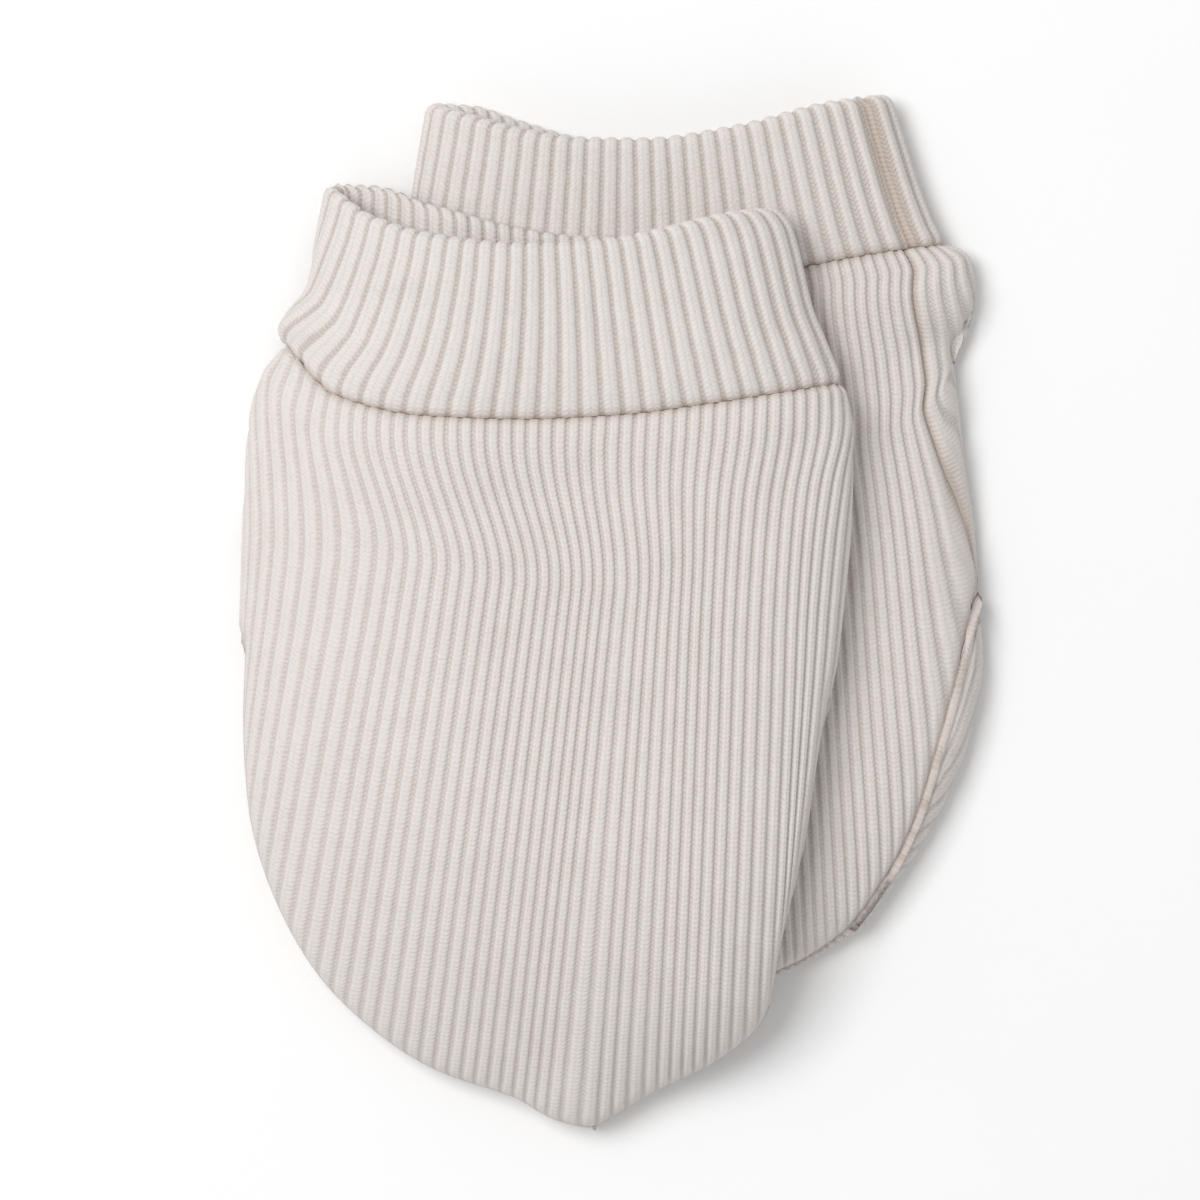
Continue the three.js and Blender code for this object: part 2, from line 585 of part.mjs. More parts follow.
// The cuff's cloth at a place round the loop: 0 to 1 over the top, 1 to 2 back underneath
function cuffPlan(piece, loop, v) {
  const pull = piece.cuffDrift * v ** CUFF_DRIFT_RISE * Math.cos((Math.PI * loop) / 2) ** CUFF_DRIFT_FADE;
  const c = (loop - pull + 2) % 2;
  const side = c <= 1 ? 'top' : 'under';
  const width = patchPoint(piece.cuff, 1, v, side).x - patchPoint(piece.cuff, 0, v, side).x;
  const loss = side === 'top' ? TOP_ARC_LOSS : UNDER_ARC_LOSS;
  const share = side === 'top' ? c : 2 - c;
  const u = acrossRow(share * (width + 2 * loss), width, side);
  return { p: patchPoint(piece.cuff, u, v, side), side, u };
}

// One cuff: a ribbed wall all round, with the groove of its closing seam
function cuff(piece) {
  const count = 2 * CUFF_RIBS;
  const ringAt = (v) => Array.from({ length: count }, (unused, i) => {
    const place = cuffPlan(piece, (2 * i) / count, v);
    const shift = seamDirection(piece.cuff, place.u, v, place.side);
    return clothPoint(piece, place.p, place.side, CUFF_WALL, shift);
  });
  const raw = CUFF_ROWS.map(ringAt);
  const crests = Array.from({ length: count }, (unused, i) => i % 2 === 1);
  const seamColumn = Math.round((piece.closingSeam * count) / 2);
  const smooth = raw.map((row) => row.map((cell) => cell.outer));
  const outer = raiseRibs(smooth, true, crests, (p, j, i) => {
    if (i === seamColumn) return -piece.closingDepth;
    if (piece.lifted && i > count / 2) return 0;
    const atEnd = j === 0 || j === CUFF_ROWS.length - 1;
    const raise = RIB_RAISE * (atEnd ? END_RELIEF : 1);
    return raise * smoothstep(p.z, UNDER_RELIEF.from, UNDER_RELIEF.full);
  });
  const inner = raw.map((row) => row.filter((cell, i) => i % 2 === 0).map((cell) => cell.inner));
  return named(`${piece.name}_cuff`, clothShell({ outer, inner, closed: true }), CUFF_COLOR);
}

const group = new THREE.Group();
[lower, upper].forEach((piece) => {
  group.add(cuff(piece), panel(piece, 'top'), panel(piece, 'under'));
});

// The pair stands with the middle of its box over the origin
const bounds = new THREE.Box3().setFromObject(group);
const middle = bounds.getCenter(new THREE.Vector3());
group.position.set(-middle.x, -middle.y, -bounds.min.z);

export default group;
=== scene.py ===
"""A pair of newborn baby mittens in fine rib knit, laid flat with one lying across the other.

Run as a script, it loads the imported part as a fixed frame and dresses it: six pieces of ribbed
cloth, the loose fibres that stand off them, a pale floor, soft light and a camera overhead.
The cloth is worked out in millimetres, in the axes of the part's source, and placed in metres.
"""

import bpy
import numpy as np
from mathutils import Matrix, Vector


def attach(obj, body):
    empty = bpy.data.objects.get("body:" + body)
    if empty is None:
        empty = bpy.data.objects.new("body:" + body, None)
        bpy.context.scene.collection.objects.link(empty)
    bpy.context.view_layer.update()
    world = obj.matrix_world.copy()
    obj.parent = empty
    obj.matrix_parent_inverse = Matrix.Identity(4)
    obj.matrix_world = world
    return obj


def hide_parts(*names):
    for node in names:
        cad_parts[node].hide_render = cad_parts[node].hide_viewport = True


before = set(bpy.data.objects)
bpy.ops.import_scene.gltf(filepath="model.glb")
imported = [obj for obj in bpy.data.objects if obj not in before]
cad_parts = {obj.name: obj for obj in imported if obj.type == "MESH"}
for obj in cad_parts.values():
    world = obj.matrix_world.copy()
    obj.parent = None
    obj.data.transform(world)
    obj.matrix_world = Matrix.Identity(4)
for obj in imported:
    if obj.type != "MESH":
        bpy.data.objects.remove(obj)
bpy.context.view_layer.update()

bl_info = {
    "name": "Baby mittens in rib knit",
    "version": (1, 0, 0),
    "blender": (4, 5, 0),
    "location": "View3D > Sidebar > Mittens",
    "description": "Dresses the pair of baby mittens in ribbed cloth and sets its light and camera",
    "category": "Object",
}

MM = 0.001
BODY = "root"

# Where the origin of the part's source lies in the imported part, in millimetres
SOURCE_SHIFT = (0.100, 0.211, 0.0)

# Ribs: across one panel, and all round one cuff
PANEL_RIBS = 50
CUFF_RIBS = 62

# Lying mitten: thickness over all, height of its outermost edge, and how far in its rounding runs
LOWER_THICKNESS = 9.4
UPPER_THICKNESS = 9.8
EDGE_HEIGHT = 2.5
TOP_ROUNDING = 24
UNDER_ROUNDING = 5
TOP_ARC_LOSS = 2.5
UNDER_ARC_LOSS = 1.8
ROW_ARC_LOSS = 2.2

# The upper mitten's underside: height over the lower one, and where it comes down beside it
LIFT = 10.06
LIFT_OUTSIDE = 13
LIFT_INSIDE = 6
CROWN_LIFT_OUTSIDE = 22
CROWN_LIFT_INSIDE = 14

# Ditch along the seam between cuff and body, and how far a cut edge turns down into its seam
DITCH_DEPTH = 0.55
DITCH_REACH = 2.2
SEAM_DIP = {"cuff": 0.55, "side": 0.5, "tip": 0.5}
SEAM_DIP_REACH = {"cuff": 0.55, "side": 0.6, "tip": 0.55}

# Ribs run out towards the tip edge, and all relief goes at the two corners of that edge
TIP_RUN_OUT = (0.2, 2.0)
CORNER_CLEAR = (0.2, 1.2)

# Height of the knit across one rib, from the middle of its wale to the valley, and how far a
# stretched place narrows the wale
WALE_EDGE = (0.32, 1.0)
STRETCHED_EDGE = (0.14, 0.72)

# Where rows and columns run nearly together, normals come from the rounding of the edge
OPEN_CELLS = (0.2, 0.5)
LEAST_RISE = 0.05

# Ribs flatten out towards the surface that the cloth lies on
TOP_RELIEF = (0.3, 2.0)
UNDER_RELIEF = (0.4, 1.6)

# Under panel where it lies over the tip edge: pitch of its ribs, how far behind the edge they
# turn, the lip's height and the share of the panel's length over which they set in, and how soon
# their courses follow
LIP_PITCH = 1.3
LIP_START = 1.2
LIP_FULL = (0.6, 2.0)
LIP_ROWS = (0.5, 0.8)
LIP_TURN = 0.2

# Painted shade, a brown tint, in the grooves along the seams, and how far it reaches from them
SEAM_SHADE = {"cuff": 0.5, "side": 0.6, "tip": 0.35}
SEAM_SHADE_REACH = {"cuff": 0.5, "side": 0.42, "tip": 0.4}

# Groove and painted shade of a cuff's closing seam, in ribs
CLOSING_REACH = 0.34
CLOSING_SHADE_REACH = 0.5

# Where along a top panel its ribs' lean begins, and where it is greatest
DRIFT_FROM = 0.03
DRIFT_FULL = 0.24

# How soon the ribs' lean rises along a cuff, and how soon it fades round it from the left edge
CUFF_DRIFT_RISE = 1.5
CUFF_DRIFT_FADE = 4

# How soon an edge's own bends fade out of the cloth beside it, and the lip back from the tip edge
EDGE_FADE = 7
ROLL_FADE = 5
LIP_FADE = 8

# Steps that settle a side seam's roll, and the share of the rest taken at each
ROLL_STEPS = 24
ROLL_STEP_SHARE = 0.4

# Length of a cuff from rim to seam, of which the fold at its rim takes half its thickness
CUFF_DEPTH = 18

# Share of the body below the cuff where the walls' thickness runs along the cuff's seam
NEAR_SEAM = 0.3

# Mesh steps
RIB_COLUMNS = 8
UNDER_RIB_COLUMNS = 6
TOP_ROWS = 165
UNDER_ROWS = 120
CUFF_OUTER_ROWS = 44
CUFF_INNER_ROWS = 22
RIM_STEPS = 5
OUTLINE_STEPS = 110
DEPTH_CHUNK = 20000
TANGENT_STEP = 0.02
TIP_STEP = 0.002

# Loose fibres: steps along one, least height over the floor in millimetres, shortest length as a
# share of the longest, lean, bend and taper, and the share of a mitten's fibres on each piece
FIBRE_STEPS = 3
FIBRE_FLOOR = 0.02
FIBRE_SHORTEST = 0.3
FIBRE_LEAN = 0.9
FIBRE_BEND = 0.5
FIBRE_TAPER = 0.7
FIBRE_SHARES = {"top_panel": 0.62, "cuff": 0.33, "under_panel": 0.05}

# Knit in the material: where a wale's side falls to the valley, as shares of half a rib, the
# strength of the painted light and shade on its stitches, and the painted light of its valleys,
# which stands in for the shade that falls between the ribs
PANEL_KNIT = {"valley": (0.52, 0.86), "stitch": 0.8, "valley_painted_light": 0.32}
CUFF_KNIT = {"valley": (0.6, 0.9), "stitch": 1.2, "valley_painted_light": 0.06}

# Unevenness of the yarn: scales of the noise per metre, and how far ribs and courses wander
NOISE = {"fleck": 2600.0, "cloud": 260.0, "wander": 700.0, "tint": 1500.0}
RIB_WANDER = 0.10
COURSE_WANDER = 0.5

# Stitches: how far a leg slants over half a rib, width of the dotted middle line, zigzag of the
# purl rows, and how far a stretched place narrows the wale
LEG_SLANT = 0.6
MIDDLE_WIDTH = 0.24
PURL_ZIGZAG = 3
STRETCH_NARROWS = 0.22

# Shares of each feature in the bump's height and in the painted light and shade of the knit's
# relief; the fleck and cloud shares are random tone of the yarn
KNIT_HEIGHT = {"wale": 0.6, "leg": 0.4, "dots": 0.5, "purl": 0.3, "fleck": 0.4}
KNIT_PAINTED_LIGHT_AND_TONE = {
    "wale": 0.92, "leg": 0.16, "dots": 0.34, "level": 0.08,
    "purl": 0.34, "open_purl": 0.3, "fleck": 0.5, "cloud": 0.25,
}
BUMP_STRENGTH = 0.6
BUMP_DISTANCE = 0.00016
GREEN_TINT = (0.985, 1.0, 0.99, 1)
PINK_TINT = (1.0, 0.975, 0.985, 1)
# Brown of the painted shade in the seams' grooves
PAINTED_SHADE_BROWN = (0.74, 0.63, 0.54, 1)
LEAST_SHADE = 0.55

# Plain materials: scale of their unevenness per metre, and how much it darkens them
PLAIN_SCALE = 40.0
PLAIN_SHADE = 0.985

# Stage, in metres
FLOOR_SIZE = 3.0
FLOOR_DROP = -0.00005
KEY_SIZE = 0.5
KEY_DISTANCE = 1.0
KEY_DIRECTION = (-0.50, 0.30, 1.10)

# The photo's framing, in millimetres: sensor, width of its field at the mittens, and its middle
SENSOR = 36
PHOTO_FIELD = 139.2
PHOTO_CENTRE = (-1.060, 1.777)
FOCUS_HEIGHT = 8


def table(columns, *rows):
    """A short table as a dict of its named columns."""
    return dict(zip(columns.split(), np.array(rows, float).T))


UPPER = {
    "name": "upper_mitten",
    "thickness": UPPER_THICKNESS,
    "lifted": True,
    # Outline from the cuff's rim to the corner where the tip edge begins
    "left": table(
        "y x",
        (49.9, -32.9), (43.3, -34.1), (38.1, -35.0), (33.2, -38.4), (31.3, -37.9),
        (27.7, -40.4), (22.4, -41.8), (15.5, -42.3), (6.2, -42.7), (-3.1, -43.0),
    ),
    "right": table(
        "y x",
        (47.0, 18.8), (44.7, 20.7), (42.2, 21.5), (35.2, 23.2), (31.1, 24.9),
        (26.6, 26.6), (21.3, 27.8), (10.8, 27.6), (1.6, 26.9), (-10.0, 25.5),
    ),
    # Outline round the tip, by the share of the panel's width
    "tip": table(
        "across x y",
        (0, -43.0, -3.1), (0.02, -43.3, -12.4), (0.06, -42.8, -21.6), (0.112, -40.6, -30.9),
        (0.217, -33.1, -44.1), (0.369, -20.9, -53.5), (0.5, -11.4, -56.9), (0.58, -6.3, -59.6),
        (0.62, -2.3, -60.4), (0.66, 0.9, -58.9), (0.7, 4.4, -56.8), (0.829, 13.0, -52.3),
        (0.908, 18.6, -46.6), (0.953, 20.3, -37.9), (0.988, 23.0, -26.3), (1, 25.5, -10.0),
    ),
    "rim": table(
        "across top under",
        (0, 49.9, 49.9), (0.1, 46.1, 49.7), (0.235, 43.7, 47.3), (0.435, 42.4, 44.4),
        (0.575, 42.6, 43.4), (0.72, 43.8, 43.4), (0.9, 46.2, 45.4), (1, 47.0, 47.0),
    ),
    "seam": table(
        "across top under",
        (0, 31.3, 31.3), (0.093, 25.3, 28.6), (0.25, 22.8, 26.2), (0.43, 22.3, 25.5),
        (0.606, 22.8, 25.6), (0.753, 24.0, 26.0), (0.9, 25.5, 26.4), (1, 26.6, 26.6),
    ),
    # How far the side seams are rolled under each edge; one on the top side is negative
    "roll": table(
        "y left right",
        (31, 6, 4), (21, 4.6, 3.2), (13, 2, 1.2), (5, 0.3, 0.3), (-2, 0, 0),
    ),
    # How far the under panel comes up over the tip edge
    "lip": table("across high", (0, 0), (1, 0)),
    # Whether the roll is read at each rib's own place, or at the place of the side seam
    "roll_follows": True,
    # How far the ribs of the top panel lean to the right below the cuff
    "drift": table(
        "across shift",
        (0, 0), (0.08, 0.8), (0.2, 3.0), (0.37, 3.4), (0.6, 2.0), (0.82, 0), (1, 0),
    ),
    "cuff_drift": 0.085,
    "closing_seam": 1.03,
    "closing_depth": 0.5,
    "folds": table(
        "x y wide long turn deep",
        (-5, 14, 13, 5, 0, 0.9), (-35, 22, 2.5, 9, -0.5, 0.6),
        (21, 16, 3, 8, -0.45, 0.7), (-28, -6, 5, 20, 0.12, 0.5),
    ),
    # Where the knit is stretched, so that its valleys open
    "stretched": table(
        "x y wide long turn deep",
        (24.5, 27, 2.5, 6, -0.3, 1.0), (19, 36, 5, 7, 0, 0.5),
    ),
    # Where the cloth turns in too sharply for any relief
    "calm": table("x y wide long turn deep", (25.5, -10, 1, 3, 0, 1.0)),
}

LOWER = {
    "name": "lower_mitten",
    "thickness": LOWER_THICKNESS,
    "lifted": False,
    "left": table(
        "y x",
        (59.6, -21.1), (50.3, -22.6), (44.5, -23.4), (38.2, -25.8), (36.6, -25.3),
        (33.5, -26.7), (27.1, -27.6), (17.8, -28.1), (1.6, -27.8),
    ),
    "right": table(
        "y x",
        (60.3, 32.5), (54.9, 34.2), (48.0, 36.5), (43.1, 39.0), (41.5, 41.6), (37.5, 42.3),
        (34.4, 41.6), (31.1, 39.7), (27.1, 40.0), (16.1, 41.3), (9.7, 42.3), (2.7, 42.9),
    ),
    "tip": table(
        "across x y",
        (0, -27.8, 1.6), (0.02, -27.4, -7.7), (0.06, -25.8, -17.0), (0.12, -21.5, -26.3),
        (0.22, -12.8, -35.0), (0.36, -1.2, -40.8), (0.5, 8.1, -43.3), (0.55, 12.2, -44.4),
        (0.6, 15.3, -43.5), (0.7, 20.9, -41.7), (0.82, 28.1, -37.5), (0.9, 33.2, -31.2),
        (0.955, 37.4, -24.4), (0.985, 41.2, -15.8), (0.996, 43.2, -5.0), (1, 42.9, 2.7),
    ),
    "rim": table(
        "across top under",
        (0, 59.6, 59.6), (0.09, 58.0, 59.3), (0.2, 56.3, 57.4), (0.33, 55.1, 55.3),
        (0.47, 54.9, 54.4), (0.67, 56.4, 55.6), (0.86, 59.1, 58.4), (1, 60.3, 60.3),
    ),
    "seam": table(
        "across top under",
        (0, 36.6, 36.6), (0.12, 35.2, 36.4), (0.3, 34.9, 37.0), (0.5, 36.6, 38.6),
        (0.735, 40.1, 41.0), (0.88, 41.9, 42.0), (1, 43.1, 43.1),
    ),
    "roll": table(
        "y left right",
        (43, 5, -6.4), (37, 4.5, -7.7), (31, 3.5, -6.6), (25.5, 2.5, -4.9),
        (21, 2, -3.4), (15, 1, -1.7), (8, 0.3, -0.3), (3, 0, 0),
    ),
    "lip": table(
        "across high",
        (0, 0), (0.6, 0), (0.75, 1.0), (0.82, 1.5), (0.9, 2.0), (0.955, 3.0), (0.97, 3.8),
        (0.985, 4.3), (0.996, 3.8), (1, 0),
    ),
    "roll_follows": False,
    "drift": table("across shift", (0, 0), (1, 0)),
    "cuff_drift": 0.02,
    "closing_seam": 0.92,
    "closing_depth": 0.9,
    "folds": table(
        "x y wide long turn deep",
        (38.5, 31.5, 5, 2.2, 0.35, 1.3), (33, 22, 2.5, 12, 0.15, 0.7), (30, -8, 3, 14, -0.1, 0.6),
    ),
    "stretched": table(
        "x y wide long turn deep",
        (29, 50, 7, 12, -0.2, 1.0), (39, 36, 4.5, 6, 0, 1.0),
    ),
    "calm": table("x y wide long turn deep", (40.4, 31.2, 1.6, 2.2, 0, 1.0)),
}


def lerp(a, b, t):
    return a + (b - a) * t


def smooth(x, low, high):
    """0 below low, 1 above high, and a soft step between them."""
    t = np.clip((x - low) / (high - low), 0, 1)
    return t * t * (3 - 2 * t)


def from_edge(arc, loss):
    """Plan distance in from the edge for an arc measured over the rounded edge."""
    return np.sqrt(arc * arc + loss * loss) - loss


def unit(vectors):
    return vectors / np.maximum(np.linalg.norm(vectors, axis=-1, keepdims=True), 1e-9)


def curve(rows, key, value):
    """Smooth monotone curve through two columns of a table."""
    order = np.argsort(rows[key])
    x, y = rows[key][order], rows[value][order]
    steps = np.diff(x)
    slopes = np.diff(y) / steps
    before, after = slopes[:-1], slopes[1:]
    total = np.where(before + after == 0, 1, before + after)
    inner = np.where(before * after <= 0, 0, 2 * before * after / total)
    tangents = np.concatenate([slopes[:1], inner, slopes[-1:]])

    def at(place):
        t = np.clip(place, x[0], x[-1])
        i = np.clip(np.searchsorted(x, t, side="left") - 1, 0, len(steps) - 1)
        s = (t - x[i]) / steps[i]
        rise = y[i + 1] - y[i]
        bend = (1 - s) * tangents[i] * steps[i] - s * tangents[i + 1] * steps[i]
        return y[i] + s * rise + s * (1 - s) * (bend - (1 - 2 * s) * rise)

    return at


class Patch:
    """Four-sided patch of cloth in plan, from a start line to an end line between two side edges."""

    def __init__(self, left, right, start, end):
        self.left, self.right, self.start, self.end = left, right, start, end

    def point(self, u, v, top):
        u, v, top = np.broadcast_arrays(u, v, top)
        across, along = u[..., None], v[..., None]
        place = lerp(self.start(u, top), self.end(u, top), along)
        zero, one = np.zeros_like(u), np.ones_like(u)
        left = self.left(v) - lerp(self.start(zero, top), self.end(zero, top), along)
        right = self.right(v) - lerp(self.start(one, top), self.end(one, top), along)
        return place + left * (1 - across) ** EDGE_FADE + right * across ** EDGE_FADE


class Mitten:
    """The curves of one mitten, worked out from its tables."""

    def __init__(self, spec):
        self.spec = spec
        self.name = spec["name"]
        left, right = curve(spec["left"], "y", "x"), curve(spec["right"], "y", "x")
        tip_x, tip_y = curve(spec["tip"], "across", "x"), curve(spec["tip"], "across", "y")
        rim = {side: curve(spec["rim"], "across", side) for side in ("top", "under")}
        self.seam = {side: curve(spec["seam"], "across", side) for side in ("top", "under")}
        self.roll = {edge: curve(spec["roll"], "y", edge) for edge in ("left", "right")}
        self.lip = curve(spec["lip"], "across", "high")
        self.drift = curve(spec["drift"], "across", "shift")
        rim_l, rim_r = rim["top"](0.0), rim["top"](1.0)
        seam_l, seam_r = self.seam["top"](0.0), self.seam["top"](1.0)
        corner_l, corner_r = spec["tip"]["y"][0], spec["tip"]["y"][-1]
        self.seam_ends = (left(seam_l), right(seam_r))

        def edge(track, start, end):
            return lambda v: np.stack([track(lerp(start, end, v)), lerp(start, end, v)], -1)

        def line(x0, x1, heights):
            def at(u, top):
                height = np.where(top, heights["top"](u), heights["under"](u))
                return np.stack([lerp(x0, x1, u), height], -1)
            return at

        seam_line = line(*self.seam_ends, self.seam)
        self.cuff = Patch(
            edge(left, rim_l, seam_l), edge(right, rim_r, seam_r),
            line(left(rim_l), right(rim_r), rim), seam_line,
        )
        self.body = Patch(
            edge(left, seam_l, corner_l), edge(right, seam_r, corner_r),
            seam_line, lambda u, top: np.stack([tip_x(u), tip_y(u)], -1),
        )
        down = np.linspace(0, 1, OUTLINE_STEPS)
        turn = (1 - np.cos(np.pi * down[1:-1])) / 2
        self.outline = np.concatenate([
            edge(left, rim_l, corner_l)(down),
            np.stack([tip_x(turn), tip_y(turn)], -1),
            edge(right, corner_r, rim_r)(down),
        ])

    def ditch(self, p, top):
        """Depth of the soft ditch along the cuff's seam."""
        x0, x1 = self.seam_ends
        u = np.clip((p[..., 0] - x0) / (x1 - x0), 0, 1)
        line = np.where(top, self.seam["top"](u), self.seam["under"](u))
        return DITCH_DEPTH * np.exp(-(((p[..., 1] - line) / DITCH_REACH) ** 2))

    def placed(self, name, p):
        """Sum at plan points of the soft spots in a table, such as the listed folds."""
        total = np.zeros(p.shape[:-1])
        rows = self.spec[name]
        for x, y, wide, long, turn, deep in zip(*(rows[k] for k in rows)):
            dx, dy = p[..., 0] - x, p[..., 1] - y
            c, s = np.cos(turn), np.sin(turn)
            total += deep * np.exp(-(((dx * c + dy * s) / wide) ** 2) - ((dy * c - dx * s) / long) ** 2)
        return total


def edge_depth(outline, p):
    """Depth of plan points inside an outline, and the direction in from their nearest edge."""
    flat = p.reshape(-1, 2)
    a, step = outline[:-1], np.diff(outline, axis=0)
    length2 = (step * step).sum(1)
    inward = np.stack([-step[:, 1], step[:, 0]], -1) / np.sqrt(length2)[:, None]
    depth, direction = np.empty(len(flat)), np.empty((len(flat), 2))
    for low in range(0, len(flat), DEPTH_CHUNK):
        part = flat[low:low + DEPTH_CHUNK]
        offset = part[:, None, :] - a[None]
        t = np.clip((offset * step).sum(-1) / length2, 0, 1)
        away2 = ((offset - t[..., None] * step) ** 2).sum(-1)
        near = away2.argmin(1)
        row = np.arange(len(part))
        side = (offset[row, near] * inward[near]).sum(-1)
        depth[low:low + DEPTH_CHUNK] = np.where(side >= 0, 1, -1) * np.sqrt(away2[row, near])
        direction[low:low + DEPTH_CHUNK] = inward[near]
    return depth.reshape(p.shape[:-1]), direction.reshape(p.shape)


upper = Mitten(UPPER)
lower = Mitten(LOWER)


def cloth_points(mitten, p, top, wall, direction, depth):
    """Outer and inner points of the lying cloth over plan points, in millimetres."""
    inset = np.clip(depth, 0, TOP_ROUNDING) / TOP_ROUNDING
    under_lift = crown_lift = np.zeros_like(inset)
    if mitten.spec["lifted"]:
        below, _ = edge_depth(lower.outline, p)
        under_lift = LIFT * smooth(below, -LIFT_OUTSIDE, LIFT_INSIDE)
        crown_lift = LIFT * smooth(below, -CROWN_LIFT_OUTSIDE, CROWN_LIFT_INSIDE)
    curl = 1 - np.sqrt(1 - (1 - np.clip(depth / UNDER_ROUNDING, 0, 1)) ** 2)
    rise = np.sqrt(1 - (1 - inset) ** 3)
    crown = mitten.spec["thickness"] - EDGE_HEIGHT
    base = lerp(under_lift, crown_lift, rise) + EDGE_HEIGHT
    base = base - rise * (mitten.placed("folds", p) + mitten.ditch(p, top))
    outer_z = np.where(top, base + crown * rise, under_lift + EDGE_HEIGHT * curl)
    under_inner = under_lift + wall + (EDGE_HEIGHT - wall) * curl
    inner_z = np.where(top, base + (crown - wall) * rise, under_inner)
    inner = p + direction * (wall * (1 - inset))[..., None]
    return np.concatenate([p, outer_z[..., None]], -1), np.concatenate([inner, inner_z[..., None]], -1)


def across_row(arc, width, loss):
    """Share across the row for an arc in from the left edge."""
    full = width + 2 * loss
    near_right = arc > full / 2
    near = np.where(near_right, full - arc, arc)
    inset = from_edge(near, loss) * (width / 2) / from_edge(full / 2, loss) / width
    return np.where(near_right, 1 - inset, inset)


def along_seam(patch, u, v, top):
    """Direction in from the side edges, used where a wall meets the cuff's seam."""
    ahead = patch.point(np.minimum(1, u + TANGENT_STEP), v, top)
    behind = patch.point(np.maximum(0, u - TANGENT_STEP), v, top)
    return unit(ahead - behind) * np.where(u < 0.5, 1, -1)[..., None]


def seam_roll(mitten, edge, v, width):
    """Roll of a side seam on each row, found at the place where the seam itself lies."""
    roll = np.zeros_like(v)
    for _ in range(ROLL_STEPS):
        top = roll < 0
        inset = from_edge(roll, np.where(top, TOP_ARC_LOSS, UNDER_ARC_LOSS)) / width
        place = mitten.body.point(inset if edge == "left" else 1 - inset, v, top)
        roll = lerp(roll, mitten.roll[edge](place[..., 1]), ROLL_STEP_SHARE)
    return roll


def tip_inward(mitten, u):
    """Direction in from the tip edge at share u across."""
    top = np.ones(u.shape, bool)
    ahead = mitten.body.end(np.minimum(1, u + TIP_STEP), top)
    behind = mitten.body.end(np.maximum(0, u - TIP_STEP), top)
    step = unit(ahead - behind)
    return np.stack([-step[..., 1], step[..., 0]], -1)


def panel_plan(mitten, on_top, f, v):
    """Plan points and sides of a panel's cloth at shares f across and v along."""
    home = np.full(f.shape, on_top)
    sign = 1 if on_top else -1
    loss, away_loss = (TOP_ARC_LOSS, UNDER_ARC_LOSS) if on_top else (UNDER_ARC_LOSS, TOP_ARC_LOSS)
    row_v = v[:, 0]
    ends = [mitten.body.point(np.full_like(row_v, u), row_v, home[:, 0])[:, 0] for u in (0.0, 1.0)]
    width = (ends[1] - ends[0])[:, None]
    full = width + 2 * loss
    if mitten.spec["roll_follows"]:
        place = mitten.body.point(f, v, home)[..., 1]
        left_roll, right_roll = (mitten.roll[edge](place) for edge in ("left", "right"))
    else:
        left_roll, right_roll = (
            seam_roll(mitten, edge, row_v, width[:, 0])[:, None] for edge in ("left", "right")
        )
    # A seam's own bends fade out across the panel, so that the ribs between run straight
    plain_l, plain_r = left_roll, right_roll
    if not mitten.spec["roll_follows"]:
        plain_l, plain_r = (lerp(roll[:1], roll[-1:], v) for roll in (left_roll, right_roll))
    arc = lerp(-sign * plain_l, full + sign * plain_r, f)
    arc = arc - sign * (left_roll - plain_l) * (1 - f) ** ROLL_FADE
    arc = arc + sign * (right_roll - plain_r) * f ** ROLL_FADE
    wrapped = (arc < 0) | (arc > full)
    inset = from_edge(np.where(arc < 0, -arc, arc - full), away_loss) / width
    u = np.where(wrapped, np.where(arc < 0, inset, 1 - inset), across_row(arc, width, loss))
    # Along the column, arcs are measured back from the tip edge
    zero, one = np.zeros_like(u), np.ones_like(u)
    column = mitten.body.point(u, one, home) - mitten.body.point(u, zero, home)
    whole = np.linalg.norm(column, axis=-1) + ROW_ARC_LOSS
    lip = mitten.lip(u) * v ** LIP_FADE
    back = whole * (1 - v) - (0 if on_top else lip)
    along = 1 - from_edge(np.maximum(back, 0), ROW_ARC_LOSS) / from_edge(whole, ROW_ARC_LOSS)
    top = home ^ (wrapped | (back < 0))
    inward = from_edge(lip if on_top else np.maximum(-back, 0), ROW_ARC_LOSS)
    p = mitten.body.point(u, along, top) + tip_inward(mitten, u) * inward[..., None]
    if on_top:
        lean = smooth(v, DRIFT_FROM, DRIFT_FULL) * np.minimum(1, (1 - v) / (1 - DRIFT_FULL))
        p[..., 0] += mitten.drift(u) * lean
    return p, top, u, arc


def normals_of(grid, wrap_rows, wrap_columns):
    """Unit normals of a grid of points, outward for cloth whose columns run left to right."""
    def slope(axis, wrap):
        if wrap:
            return np.roll(grid, -1, axis) - np.roll(grid, 1, axis)
        return np.gradient(grid, axis=axis)
    return unit(np.cross(slope(0, wrap_rows), slope(1, wrap_columns)))


def rounding_normals(mitten, direct, depth, top):
    """Unit normals of the rounded edge, for places where the rows and columns run together."""
    # The slopes are those of the two height profiles in cloth_points
    inset = np.clip(depth, 0, TOP_ROUNDING) / TOP_ROUNDING
    rise = np.maximum(np.sqrt(1 - (1 - inset) ** 3), LEAST_RISE)
    crown = mitten.spec["thickness"] - EDGE_HEIGHT
    over = crown * 1.5 * (1 - inset) ** 2 / rise / TOP_ROUNDING
    turned = 1 - np.clip(depth / UNDER_ROUNDING, 0, 1)
    below = EDGE_HEIGHT * turned / np.maximum(np.sqrt(1 - turned ** 2), LEAST_RISE) / UNDER_ROUNDING
    slope = np.where(top, over, below)[..., None]
    return unit(np.concatenate([-direct * slope, np.where(top, 1.0, -1.0)[..., None]], -1))


def rib_profile(phase, stretched):
    """Height of the knit across one rib: a broad round wale and a narrow valley."""
    across = np.abs(phase % 1 - 0.5) * 2
    low, high = (lerp(edge, wide, stretched) for edge, wide in zip(WALE_EDGE, STRETCHED_EDGE))
    return 1 - smooth(across, low, high)


def near(distance, reach):
    """1 at no distance, fading softly over the reach."""
    return np.exp(-((distance / reach) ** 2))


